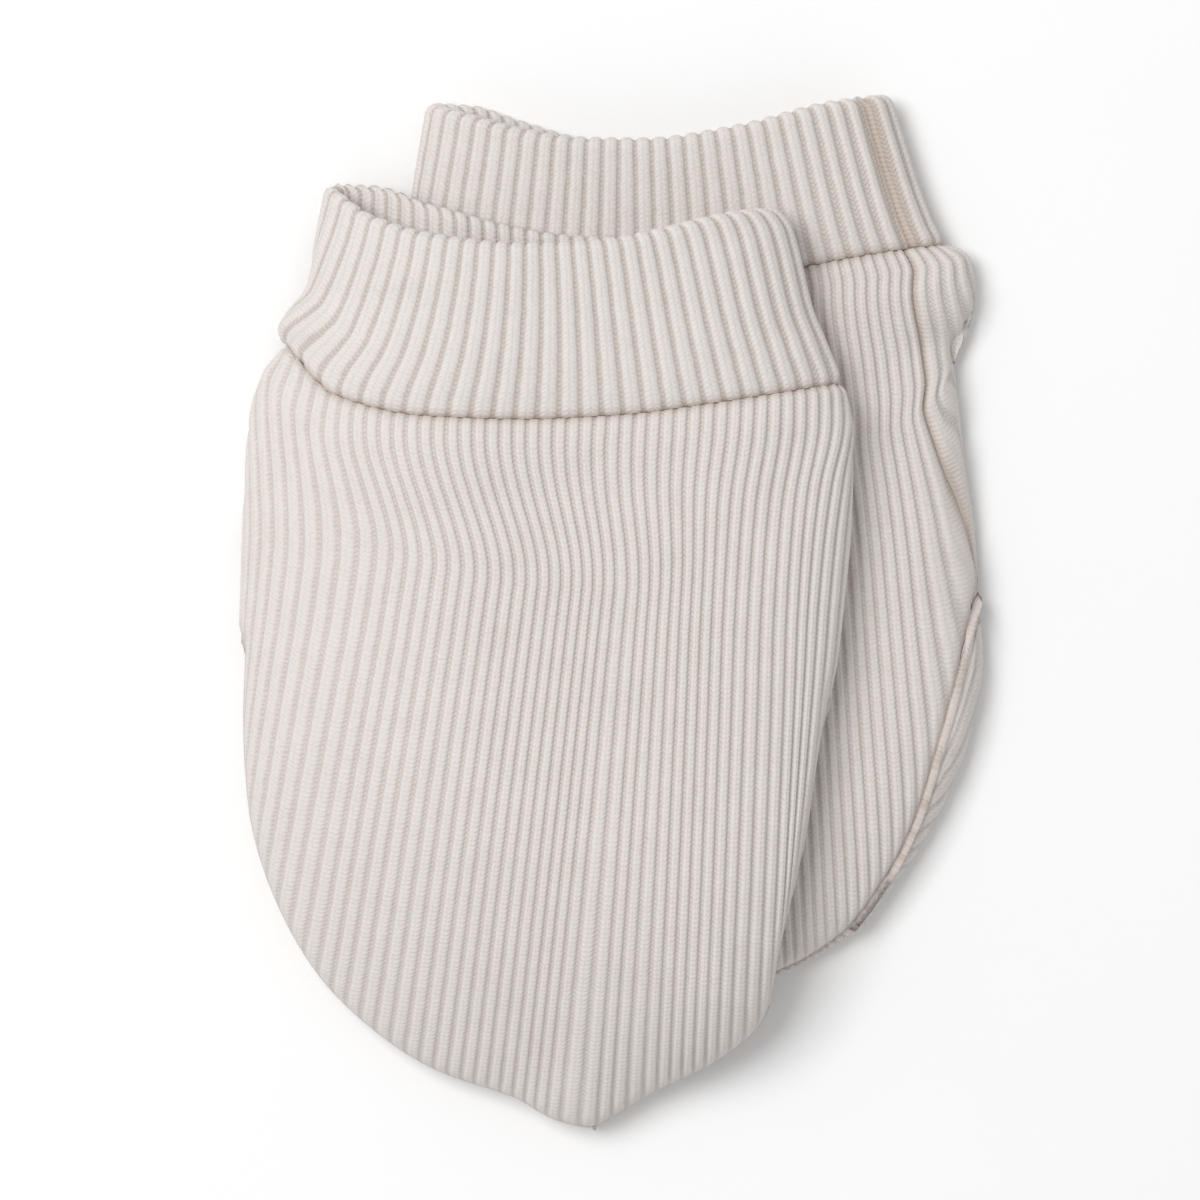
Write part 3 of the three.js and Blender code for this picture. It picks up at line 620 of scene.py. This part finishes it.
def courses(grid, course):
    """Count of courses down each column of a grid, from its first row."""
    steps = np.linalg.norm(np.diff(grid, axis=0), axis=-1)
    return np.concatenate([np.zeros((1, grid.shape[1])), np.cumsum(steps, 0)]) / course


def grid_numbers(rows, columns, start=0):
    return start + np.arange(rows * columns).reshape(rows, columns)


def quads(numbers, flipped=False):
    """Four-sided faces between neighbouring rows and columns of a grid of point numbers."""
    faces = np.stack([numbers[:-1, :-1], numbers[1:, :-1], numbers[1:, 1:], numbers[:-1, 1:]], -1)
    faces = faces.reshape(-1, 4)
    return faces[:, ::-1] if flipped else faces


def end_strip(outer_row, inner_row, ratio, flipped):
    """Faces that close a wall's end, each from one inner step to the outer steps beside it."""
    spans = len(inner_row) - 1
    outer = np.stack([outer_row[k:k + spans * ratio:ratio] for k in range(ratio)], -1)
    outer = np.concatenate([outer, outer_row[ratio::ratio][:spans, None]], -1)
    faces = np.concatenate([outer, inner_row[1:, None], inner_row[:-1, None]], -1)
    return faces[:, ::-1] if flipped else faces


def cloth_object(name, points, face_groups, layers, places, material, node):
    """A mesh object from points in millimetres, which takes the place of one node of the part.

    Each layer holds two values for every place, and the places give a number to each face's corners.
    """
    mesh = bpy.data.meshes.new(name)
    mesh.vertices.add(len(points))
    placed = (points + np.array(SOURCE_SHIFT)) * MM
    mesh.vertices.foreach_set("co", placed.astype(np.float32).ravel())
    corners = np.concatenate([faces.ravel() for faces in face_groups])
    sizes = np.concatenate([np.full(len(faces), faces.shape[1]) for faces in face_groups])
    mesh.loops.add(len(corners))
    mesh.loops.foreach_set("vertex_index", corners.astype(np.int32))
    mesh.polygons.add(len(sizes))
    starts = np.concatenate([[0], np.cumsum(sizes)[:-1]])
    mesh.polygons.foreach_set("loop_start", starts.astype(np.int32))
    mesh.update(calc_edges=True)
    order = np.concatenate([group.ravel() for group in places])
    for title, values in layers.items():
        layer = mesh.uv_layers.new(name=title)
        layer.data.foreach_set("uv", values[order].astype(np.float32).ravel())
    mesh.polygons.foreach_set("use_smooth", np.ones(len(sizes), bool))
    mesh.materials.append(material)
    mesh.validate()
    made = bpy.data.objects.new(name, mesh)
    bpy.context.scene.collection.objects.link(made)
    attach(made, BODY)
    if node:
        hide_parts(node)
    return made


def panel_cloth(mitten, which, settings, material):
    """One panel of a mitten: its ribbed outer side, its plain inside and its turned-in edges."""
    on_top = which == "top"
    per_rib = RIB_COLUMNS if on_top else UNDER_RIB_COLUMNS
    rows = TOP_ROWS if on_top else UNDER_ROWS
    columns = PANEL_RIBS * per_rib
    share = np.linspace(0, 1, columns + 1)
    f, v = np.meshgrid(share, np.linspace(0, 1, rows))
    p, top, u, arc = panel_plan(mitten, on_top, f, v)
    depth, direct = edge_depth(mitten.outline, p)
    near_seam = (1 - smooth(v, 0, NEAR_SEAM))[..., None]
    direction = unit(lerp(direct, along_seam(mitten.body, u, v, top), near_seam))
    wall = settings.panel_wall / MM
    outer, inner = cloth_points(mitten, p, top, wall, direction, depth)
    normal = normals_of(outer, False, False) * (1 if on_top else -1)
    down, across = unit(np.gradient(outer, axis=0)), unit(np.gradient(outer, axis=1))
    opened = np.linalg.norm(np.cross(down, across), axis=-1, keepdims=True)
    rounded = rounding_normals(mitten, direct, depth, top)
    normal = unit(lerp(rounded, normal, smooth(opened, *OPEN_CELLS)))
    height = outer[..., 2]
    course = settings.course / MM
    count = courses(outer, course)
    from_cuff = count * course
    from_side = np.minimum(arc - arc[:, :1], arc[:, -1:] - arc)
    from_tip = np.abs(edge_depth(p[-1, ::per_rib], p)[0])
    from_corner = np.minimum(*(np.linalg.norm(p - p[-1, end], axis=-1) for end in (0, -1)))
    phase = f * PANEL_RIBS
    if not on_top:
        # Over the tip edge the ribs run along it
        over = np.maximum(mitten.lip(u) + LIP_START - from_tip, 0) * smooth(mitten.lip(u), *LIP_FULL)
        over = over * smooth(v, *LIP_ROWS)
        phase = phase + over / LIP_PITCH
        edge = np.linalg.norm(np.diff(p[-1], axis=0), axis=-1)
        along_edge = np.concatenate([[0], np.cumsum(edge)]) / course
        count = lerp(count, along_edge, smooth(over, LIP_TURN, LIP_START))
    stretched = np.clip(mitten.placed("stretched", p), 0, 1) * top
    relief = rib_profile(phase, stretched) * settings.rib_height / MM
    if on_top:
        relief = relief * smooth(height, *TOP_RELIEF) * smooth(from_tip, *TIP_RUN_OUT)
    else:
        relief = relief * (0 if mitten.spec["lifted"] else 1) * smooth(height, *UNDER_RELIEF)
    seams = {"cuff": from_cuff, "side": from_side, "tip": from_tip}
    for seam, distance in seams.items():
        relief = relief - SEAM_DIP[seam] * near(distance, SEAM_DIP_REACH[seam])
    relief = relief * smooth(from_corner, *CORNER_CLEAR) * (1 - mitten.placed("calm", p))
    # Painted shade along the seams' grooves, carried to the material with the stretch in one layer
    shade = np.maximum.reduce([
        SEAM_SHADE[seam] * near(distance, SEAM_SHADE_REACH[seam]) for seam, distance in seams.items()
    ])
    raised = outer + normal * relief[..., None]
    plain = inner[:, ::per_rib]
    outside = grid_numbers(rows, columns + 1)
    inside = grid_numbers(rows, PANEL_RIBS + 1, outside.size)
    turned = not on_top
    faces = [
        quads(outside, turned),
        quads(inside, not turned),
        quads(np.stack([inside[:, 0], outside[:, 0]], -1), turned),
        quads(np.stack([outside[:, -1], inside[:, -1]], -1), turned),
        end_strip(outside[0], inside[0], per_rib, turned),
        end_strip(outside[-1], inside[-1], per_rib, not turned),
    ]
    layers = {
        title: np.concatenate([values.reshape(-1, 2), values[:, ::per_rib].reshape(-1, 2)])
        for title, values in (
            ("knit", np.stack([phase, count], -1)), ("wear", np.stack([shade, stretched], -1)),
        )
    }
    points = np.concatenate([raised.reshape(-1, 3), plain.reshape(-1, 3)])
    name = f"{mitten.name}_{which}_panel"
    made = cloth_object(f"{name}_cloth", points, faces, layers, faces, material, name)
    return made, raised, normal


def cuff_plan(mitten, loop, v):
    """Plan points of a cuff's cloth: loop runs 0 to 1 over the top and 1 to 2 back underneath."""
    fade = np.cos(np.pi * loop / 2) ** CUFF_DRIFT_FADE
    pull = mitten.spec["cuff_drift"] * v ** CUFF_DRIFT_RISE * fade
    c = (loop - pull) % 2
    top = c <= 1
    ends = [mitten.cuff.point(np.full_like(v, u), v, top)[..., 0] for u in (0.0, 1.0)]
    width = ends[1] - ends[0]
    loss = np.where(top, TOP_ARC_LOSS, UNDER_ARC_LOSS)
    share = np.where(top, c, 2 - c)
    u = across_row(share * (width + 2 * loss), width, loss)
    return mitten.cuff.point(u, v, top), top, u


def cuff_cloth(mitten, settings, material):
    """One cuff, folded double: ribbed outside and inside, with a round fold at its rim."""
    columns = CUFF_RIBS * RIB_COLUMNS
    wall = settings.cuff_wall / MM
    fold = wall / 2
    back = fold / CUFF_DEPTH
    loop = np.arange(columns) * 2 / columns
    downs = np.concatenate([
        np.linspace(1, back, CUFF_OUTER_ROWS),
        np.linspace(back, 1, CUFF_INNER_ROWS),
    ])
    grid_loop, grid_v = np.meshgrid(loop, downs)
    p, top, u = cuff_plan(mitten, grid_loop, grid_v)
    depth, _ = edge_depth(mitten.outline, p)
    direction = along_seam(mitten.cuff, u, grid_v, top)
    outer, inner = cloth_points(mitten, p, top, wall, direction, depth)
    outside, inside = outer[:CUFF_OUTER_ROWS], inner[CUFF_OUTER_ROWS:]
    ahead = unit(outside[-1] - outside[-2])
    turns = np.linspace(0, np.pi, RIM_STEPS + 2)[1:-1]
    rim = [
        lerp(outside[-1], inside[0], (1 - np.cos(turn)) / 2) + ahead * (fold * np.sin(turn))
        for turn in turns
    ]
    grid = np.concatenate([outside, np.array(rim), inside])
    normal = normals_of(grid, False, True) * -1
    rows = len(grid)
    phase = np.arange(columns + 1) / RIB_COLUMNS
    stretched = np.clip(mitten.placed("stretched", grid[..., :2]), 0, 1)
    stretched = stretched * (loop <= 1)[None]
    relief = rib_profile(phase[:-1][None], stretched) * settings.rib_height / MM
    count = courses(grid, settings.course / MM)
    from_seam = count * settings.course / MM
    height = grid[..., 2]
    is_outer = (np.arange(rows) < CUFF_OUTER_ROWS + RIM_STEPS // 2)[:, None]
    covered = mitten.spec["lifted"] * is_outer * (loop > 1)[None]
    relief = relief * (1 - covered) * np.where(is_outer, smooth(height, *UNDER_RELIEF), 1)
    relief = relief - is_outer * SEAM_DIP["cuff"] * near(from_seam, SEAM_DIP_REACH["cuff"])
    closing = (loop - mitten.spec["closing_seam"]) * columns / 2 / RIB_COLUMNS
    relief = relief - is_outer * mitten.spec["closing_depth"] * near(closing, CLOSING_REACH)[None]
    # Painted shade in the cuff's seam ditch and along its closing seam
    shade = np.maximum(
        is_outer * SEAM_SHADE["cuff"] * near(from_seam, SEAM_SHADE_REACH["cuff"]),
        is_outer * near(closing, CLOSING_SHADE_REACH)[None],
    )
    raised = grid + normal * relief[..., None]
    numbers = grid_numbers(rows, columns)
    ring = np.concatenate([numbers, numbers[:, :1]], 1)
    count, shade, stretched = (
        np.concatenate([values, values[:, :1]], 1) for values in (count, shade, stretched)
    )
    faces = quads(ring, True)
    closing_strip = quads(np.stack([ring[-1], ring[0]]), True)
    places = np.arange(ring.size).reshape(ring.shape)
    layers = {
        "knit": np.stack([np.broadcast_to(phase, ring.shape), count], -1).reshape(-1, 2),
        "wear": np.stack([shade, stretched], -1).reshape(-1, 2),
    }
    corners = [quads(places, True), quads(np.stack([places[-1], places[0]]), True)]
    name = f"{mitten.name}_cuff"
    made = cloth_object(
        f"{name}_cloth", raised.reshape(-1, 3), [faces, closing_strip], layers, corners, material,
        name,
    )
    return made, raised, normal


class Socket:
    """A shader socket that takes part in sums: each operator adds a Math node."""

    def __init__(self, nodes, link):
        self.nodes, self.link = nodes, link

    def maths(self, operation, *values):
        return self.nodes.add("ShaderNodeMath", {"operation": operation}, dict(enumerate(values)))

    def __add__(self, other):
        return self.maths("ADD", self, other)

    def __radd__(self, other):
        return self.maths("ADD", other, self)

    def __sub__(self, other):
        return self.maths("SUBTRACT", self, other)

    def __rsub__(self, other):
        return self.maths("SUBTRACT", other, self)

    def __mul__(self, other):
        return self.maths("MULTIPLY", self, other)

    def __rmul__(self, other):
        return self.maths("MULTIPLY", other, self)

    def __abs__(self):
        return self.maths("ABSOLUTE", self)

    def fraction(self):
        return self.maths("FRACT", self)

    def cosine(self):
        return self.maths("COSINE", self)

    def step(self, low, high):
        """0 below low, 1 above high, and a soft step between them."""
        return self.nodes.add(
            "ShaderNodeMapRange", {"interpolation_type": "SMOOTHSTEP"},
            {"Value": self, "From Min": low, "From Max": high},
        )


class Nodes:
    """The nodes of one material."""

    def __init__(self, material):
        material.use_nodes = True
        self.tree = material.node_tree
        self.tree.nodes.clear()

    def add(self, kind, settings, sockets, output=0):
        """Adds a node: its settings first, then the values or links of its sockets."""
        node = self.tree.nodes.new(kind)
        for name, value in settings.items():
            setattr(node, name, value)
        for name, value in sockets.items():
            if isinstance(value, Socket):
                self.tree.links.new(value.link, node.inputs[name])
            else:
                node.inputs[name].default_value = value
        return Socket(self, node.outputs[output]) if node.outputs else None

    def blend(self, kind, factor, first, second):
        """Two colours laid over each other in the given way, by a factor."""
        return self.add(
            "ShaderNodeMix", {"data_type": "RGBA", "blend_type": kind},
            {"Factor": factor, 6: first, 7: second}, 2,
        )

    def mix(self, factor, first, second):
        """A colour between two colours."""
        return self.blend("MIX", factor, first, second)


def knit_material(name, settings, valley, stitch, valley_painted_light):
    """Rib knit: slanting stitch legs on each wale, purl bars in the valleys and flecked yarn, with
    painted light and shade on the stitches and painted shade in the valleys.
    """
    material = bpy.data.materials.new(name)
    nodes = Nodes(material)

    def read(layer, axis):
        place = nodes.add("ShaderNodeUVMap", {"uv_map": layer}, {})
        return nodes.add("ShaderNodeSeparateXYZ", {}, {0: place}, axis)

    def noise(kind, detail):
        sockets = {"Vector": where, "Scale": NOISE[kind], "Detail": detail}
        return nodes.add("ShaderNodeTexNoise", {}, sockets)

    rib, course = read("knit", 0), read("knit", 1)
    shade, stretched = read("wear", 0), read("wear", 1)
    where = nodes.add("ShaderNodeTexCoord", {}, {}, 3)
    fleck = noise("fleck", 2.0) - 0.5
    cloud = noise("cloud", 2.0) - 0.5
    wander = noise("wander", 1.0) - 0.5
    # Across a rib this runs from 0 in the middle of the wale to 1 in the valley
    across = abs((rib + wander * RIB_WANDER).fraction() - 0.5) * 2
    course = course + wander * COURSE_WANDER
    wale = 1 - (across + stretched * STRETCH_NARROWS).step(*valley)
    turn = 2 * np.pi
    leg = 0.5 + 0.5 * ((course + across * LEG_SLANT) * turn).cosine()
    dots = 0.5 + 0.5 * (course * turn).cosine()
    middle = 1 - across.step(0.0, MIDDLE_WIDTH)
    zigzag = PURL_ZIGZAG * (across * turn).cosine()
    purl = 0.5 + 0.5 * ((course + 0.5) * turn + zigzag).cosine()
    high = KNIT_HEIGHT
    relief = wale * (high["wale"] + high["leg"] * leg - high["dots"] * middle * dots)
    relief = relief + (1 - wale) * purl * high["purl"] + fleck * high["fleck"]
    light_and_tone = KNIT_PAINTED_LIGHT_AND_TONE
    # Painted light and shade: lighter legs, a darker dotted middle, darker valleys, and purl bars
    # lighter where stretched knit opens, all standing in for light on the relief
    stitches = light_and_tone["leg"] * leg - light_and_tone["dots"] * middle * dots - light_and_tone["level"]
    rows = valley_painted_light + light_and_tone["purl"] * purl + light_and_tone["open_purl"] * stretched * purl
    light = wale * (light_and_tone["wale"] + stitch * stitches) + (1 - wale) * rows
    # Flecks and clouds are random tone of the yarn
    light = light + fleck * light_and_tone["fleck"] + cloud * light_and_tone["cloud"]
    color = nodes.mix(light, (*settings.shaded_valley_color, 1), (*settings.wale_color, 1))
    tint = nodes.mix(noise("tint", 1.0), GREEN_TINT, PINK_TINT)
    color = nodes.blend("MULTIPLY", 1.0, color, tint)
    # Painted shade: the colour turns brown in the seams' grooves, dotted along the courses
    shaded_brown = nodes.blend("MULTIPLY", 1.0, color, PAINTED_SHADE_BROWN)
    color = nodes.mix(shade * (LEAST_SHADE + (1 - LEAST_SHADE) * dots), color, shaded_brown)
    bumps = {"Strength": BUMP_STRENGTH, "Distance": BUMP_DISTANCE, "Height": relief}
    bump = nodes.add("ShaderNodeBump", {}, bumps)
    shader = nodes.add(
        "ShaderNodeBsdfPrincipled", {},
        {
            "Base Color": color, "Roughness": 0.95, "Normal": bump, "Specular IOR Level": 0.15,
            "Sheen Weight": settings.sheen, "Sheen Roughness": 0.5,
        },
    )
    nodes.add("ShaderNodeOutputMaterial", {}, {"Surface": shader})
    return material


def plain_material(name, color, roughness):
    """A plain material with a faint unevenness."""
    material = bpy.data.materials.new(name)
    nodes = Nodes(material)
    where = nodes.add("ShaderNodeTexCoord", {}, {}, 3)
    cloud = nodes.add("ShaderNodeTexNoise", {}, {"Vector": where, "Scale": PLAIN_SCALE})
    shade = tuple(PLAIN_SHADE * part for part in color)
    mixed = nodes.mix(cloud, (*shade, 1), (*color, 1))
    shader = nodes.add(
        "ShaderNodeBsdfPrincipled", {},
        {"Base Color": mixed, "Roughness": roughness, "Specular IOR Level": 0.1},
    )
    nodes.add("ShaderNodeOutputMaterial", {}, {"Surface": shader})
    return material


class ClothSettings(bpy.types.PropertyGroup):
    """Sizes and colours of the cloth."""

    rib_height: bpy.props.FloatProperty(
        name="Rib height", description="Height of a rib over the valleys beside it",
        default=0.36 * MM, min=0, unit="LENGTH",
    )
    course: bpy.props.FloatProperty(
        name="Course", description="Length of one stitch along a rib",
        default=0.56 * MM, min=0.1 * MM, unit="LENGTH",
    )
    panel_wall: bpy.props.FloatProperty(
        name="Panel cloth", description="Thickness of the cloth of the body's panels",
        default=1.3 * MM, min=0.5 * MM, unit="LENGTH",
    )
    cuff_wall: bpy.props.FloatProperty(
        name="Cuff cloth", description="Thickness of the cuff's cloth, folded double",
        default=2.0 * MM, min=0.5 * MM, unit="LENGTH",
    )
    wale_color: bpy.props.FloatVectorProperty(
        name="Rib colour", description="Colour of the yarn on the ribs",
        default=(0.725, 0.682, 0.656), subtype="COLOR", min=0, max=1,
    )
    # Painted shade: a darker colour for the shade that falls in the valleys between the ribs
    shaded_valley_color: bpy.props.FloatVectorProperty(
        name="Valley colour", description="Colour between the ribs",
        default=(0.49, 0.435, 0.39), subtype="COLOR", min=0, max=1,
    )
    sheen: bpy.props.FloatProperty(
        name="Sheen", description="Share of soft light that the yarn's nap gives back",
        default=0.15, min=0, max=1, subtype="FACTOR",
    )


class FibreSettings(bpy.types.PropertyGroup):
    """Loose fibres that stand off the cloth."""

    count: bpy.props.IntProperty(
        name="Fibres", description="Loose fibres on one mitten", default=9000, min=0, max=16000,
    )
    length: bpy.props.FloatProperty(
        name="Length", description="Greatest length of a loose fibre",
        default=1.1 * MM, min=0.1 * MM, unit="LENGTH",
    )
    thickness: bpy.props.FloatProperty(
        name="Thickness", description="Thickness of a loose fibre at its root",
        default=0.022 * MM, min=0.005 * MM, unit="LENGTH",
    )


class StageSettings(bpy.types.PropertyGroup):
    """Floor, light and camera."""

    floor_color: bpy.props.FloatVectorProperty(
        name="Floor colour", description="Colour of the floor",
        default=(0.93, 0.93, 0.93), subtype="COLOR", min=0, max=1,
    )
    key_energy: bpy.props.FloatProperty(
        name="Key light", description="Power of the soft light from the upper left",
        default=6.2, min=0, unit="POWER",
    )
    sky: bpy.props.FloatProperty(
        name="Fill", description="Strength of the even light from all round", default=0.57, min=0,
    )
    camera_distance: bpy.props.FloatProperty(
        name="Camera distance", description="Height of the camera over the mittens",
        default=0.95, min=0.2, unit="LENGTH",
    )


# Outer points and normals of each piece, kept for its loose fibres
surfaces = {}


class MITTENS_OT_panels(bpy.types.Operator):
    """Makes the top and under panels of both mittens"""

    bl_idname = "mittens.panels"
    bl_label = "Make the panels"

    def execute(self, context):
        settings = context.scene.mitten_cloth
        material = knit_material("fine_rib_knit", settings, **PANEL_KNIT)
        for mitten in (lower, upper):
            for which in ("top", "under"):
                made, points, normals = panel_cloth(mitten, which, settings, material)
                surfaces[made.name] = (points, normals)
        return {"FINISHED"}


class MITTENS_OT_cuffs(bpy.types.Operator):
    """Makes the folded rib cuffs of both mittens"""

    bl_idname = "mittens.cuffs"
    bl_label = "Make the cuffs"

    def execute(self, context):
        settings = context.scene.mitten_cloth
        material = knit_material("cuff_rib_knit", settings, **CUFF_KNIT)
        for mitten in (lower, upper):
            made, points, normals = cuff_cloth(mitten, settings, material)
            surfaces[made.name] = (points, normals)
        return {"FINISHED"}


class MITTENS_OT_fibres(bpy.types.Operator):
    """Adds the loose fibres that stand off the cloth of both mittens"""

    bl_idname = "mittens.fibres"
    bl_label = "Add loose fibres"

    def execute(self, context):
        settings = context.scene.mitten_fibres
        color = tuple(context.scene.mitten_cloth.wale_color)
        material = plain_material("loose_fibres", color, 0.9)
        for seed, mitten in enumerate((lower, upper)):
            rng = np.random.default_rng(seed)
            parts = [
                loose_fibres(*surfaces[f"{mitten.name}_{piece}_cloth"], settings, rng, share)
                for piece, share in FIBRE_SHARES.items()
            ]
            points = np.concatenate(parts)
            numbers = np.arange(len(points) // 2).reshape(-1, FIBRE_STEPS + 1)
            pairs = np.stack([2 * numbers, 2 * numbers + 1], -1)
            faces = np.stack(
                [pairs[:, :-1, 0], pairs[:, 1:, 0], pairs[:, 1:, 1], pairs[:, :-1, 1]], -1,
            ).reshape(-1, 4)
            name = f"{mitten.name}_fibres"
            cloth_object(name, points, [faces], {}, [faces], material, None)
        return {"FINISHED"}


class MITTENS_OT_stage(bpy.types.Operator):
    """Lays the floor and sets the light and the camera"""

    bl_idname = "mittens.stage"
    bl_label = "Set the stage"

    def execute(self, context):
        settings = context.scene.mitten_stage
        floor_mesh = bpy.data.meshes.new("floor")
        half = FLOOR_SIZE / 2
        square = ((-half, -half), (half, -half), (half, half), (-half, half))
        corners = [(*corner, FLOOR_DROP) for corner in square]
        floor_mesh.from_pydata(corners, [], [(0, 1, 2, 3)])
        floor_mesh.materials.append(plain_material("pale_floor", tuple(settings.floor_color), 0.8))
        floor = bpy.data.objects.new("floor", floor_mesh)
        context.scene.collection.objects.link(floor)

        light = bpy.data.lights.new("key", "AREA")
        light.shape = "SQUARE"
        light.size = KEY_SIZE
        light.energy = settings.key_energy
        key = bpy.data.objects.new("key", light)
        aim(key, unit(np.array(KEY_DIRECTION)) * KEY_DISTANCE, (0, 0, 0))
        context.scene.collection.objects.link(key)

        world = bpy.data.worlds.new("room")
        world.use_nodes = True
        background = world.node_tree.nodes["Background"]
        background.inputs["Color"].default_value = (1, 1, 1, 1)
        background.inputs["Strength"].default_value = settings.sky
        context.scene.world = world
        context.scene.view_settings.view_transform = "Standard"

        lens = bpy.data.cameras.new("camera")
        lens.sensor_width = SENSOR
        distance = settings.camera_distance
        lens.lens = SENSOR * distance / (PHOTO_FIELD * MM)
        camera = bpy.data.objects.new("camera", lens)
        camera.location = (*(part * MM for part in PHOTO_CENTRE), FOCUS_HEIGHT * MM + distance)
        context.scene.collection.objects.link(camera)
        context.scene.camera = camera
        return {"FINISHED"}


def aim(thing, place, target):
    """Puts an object at a place so that it looks at the target."""
    thing.location = place
    thing.rotation_mode = "QUATERNION"
    back = Vector(place) - Vector(target)
    thing.rotation_quaternion = (-back).to_track_quat("-Z", "Y")


def loose_fibres(points, normals, settings, rng, share):
    """Fine bent fibres, each a narrow ribbon, scattered over a piece's outer side."""
    count = int(settings.count * share)
    flat, out = points.reshape(-1, 3), normals.reshape(-1, 3)
    chosen = rng.integers(0, len(flat), count)
    root, up = flat[chosen], out[chosen]
    lean = unit(rng.normal(size=(count, 3)))
    length = settings.length / MM * lerp(FIBRE_SHORTEST, 1, rng.random(count) ** 2)
    bend = unit(np.cross(up, rng.normal(size=(count, 3))))
    start = unit(up + FIBRE_LEAN * lean)
    side = unit(np.cross(start, rng.normal(size=(count, 3))))
    steps = np.linspace(0, 1, FIBRE_STEPS + 1)
    rows = []
    for t in steps:
        centre = root + start * (length * t)[:, None]
        centre = centre + bend * (length * FIBRE_BEND * t * t)[:, None]
        half = settings.thickness / MM / 2 * (1 - FIBRE_TAPER * t)
        rows.append(np.stack([centre - side * half, centre + side * half], 1))
    made = np.stack(rows, 1).reshape(-1, 3)
    made[:, 2] = np.maximum(made[:, 2], FIBRE_FLOOR)
    return made


class MITTENS_PT_panel(bpy.types.Panel):
    """Lists the steps that dress the mittens"""

    bl_label = "Mittens"
    bl_idname = "MITTENS_PT_panel"
    bl_space_type = "VIEW_3D"
    bl_region_type = "UI"
    bl_category = "Mittens"

    def draw(self, context):
        for operator in OPERATORS:
            self.layout.operator(operator.bl_idname)
        for group in SETTINGS:
            settings = getattr(context.scene, group)
            box = self.layout.box()
            for name in settings.__annotations__:
                box.prop(settings, name)


OPERATORS = (MITTENS_OT_panels, MITTENS_OT_cuffs, MITTENS_OT_fibres, MITTENS_OT_stage)
SETTINGS = {
    "mitten_cloth": ClothSettings, "mitten_fibres": FibreSettings, "mitten_stage": StageSettings,
}


def register():
    for made in (*SETTINGS.values(), *OPERATORS, MITTENS_PT_panel):
        bpy.utils.register_class(made)
    for name, group in SETTINGS.items():
        setattr(bpy.types.Scene, name, bpy.props.PointerProperty(type=group))


def unregister():
    for name in SETTINGS:
        delattr(bpy.types.Scene, name)
    for made in reversed((*SETTINGS.values(), *OPERATORS, MITTENS_PT_panel)):
        bpy.utils.unregister_class(made)


def main():
    register()
    bpy.ops.mittens.panels()
    bpy.ops.mittens.cuffs()
    bpy.ops.mittens.fibres()
    bpy.ops.mittens.stage()


if __name__ == "__main__":
    main()
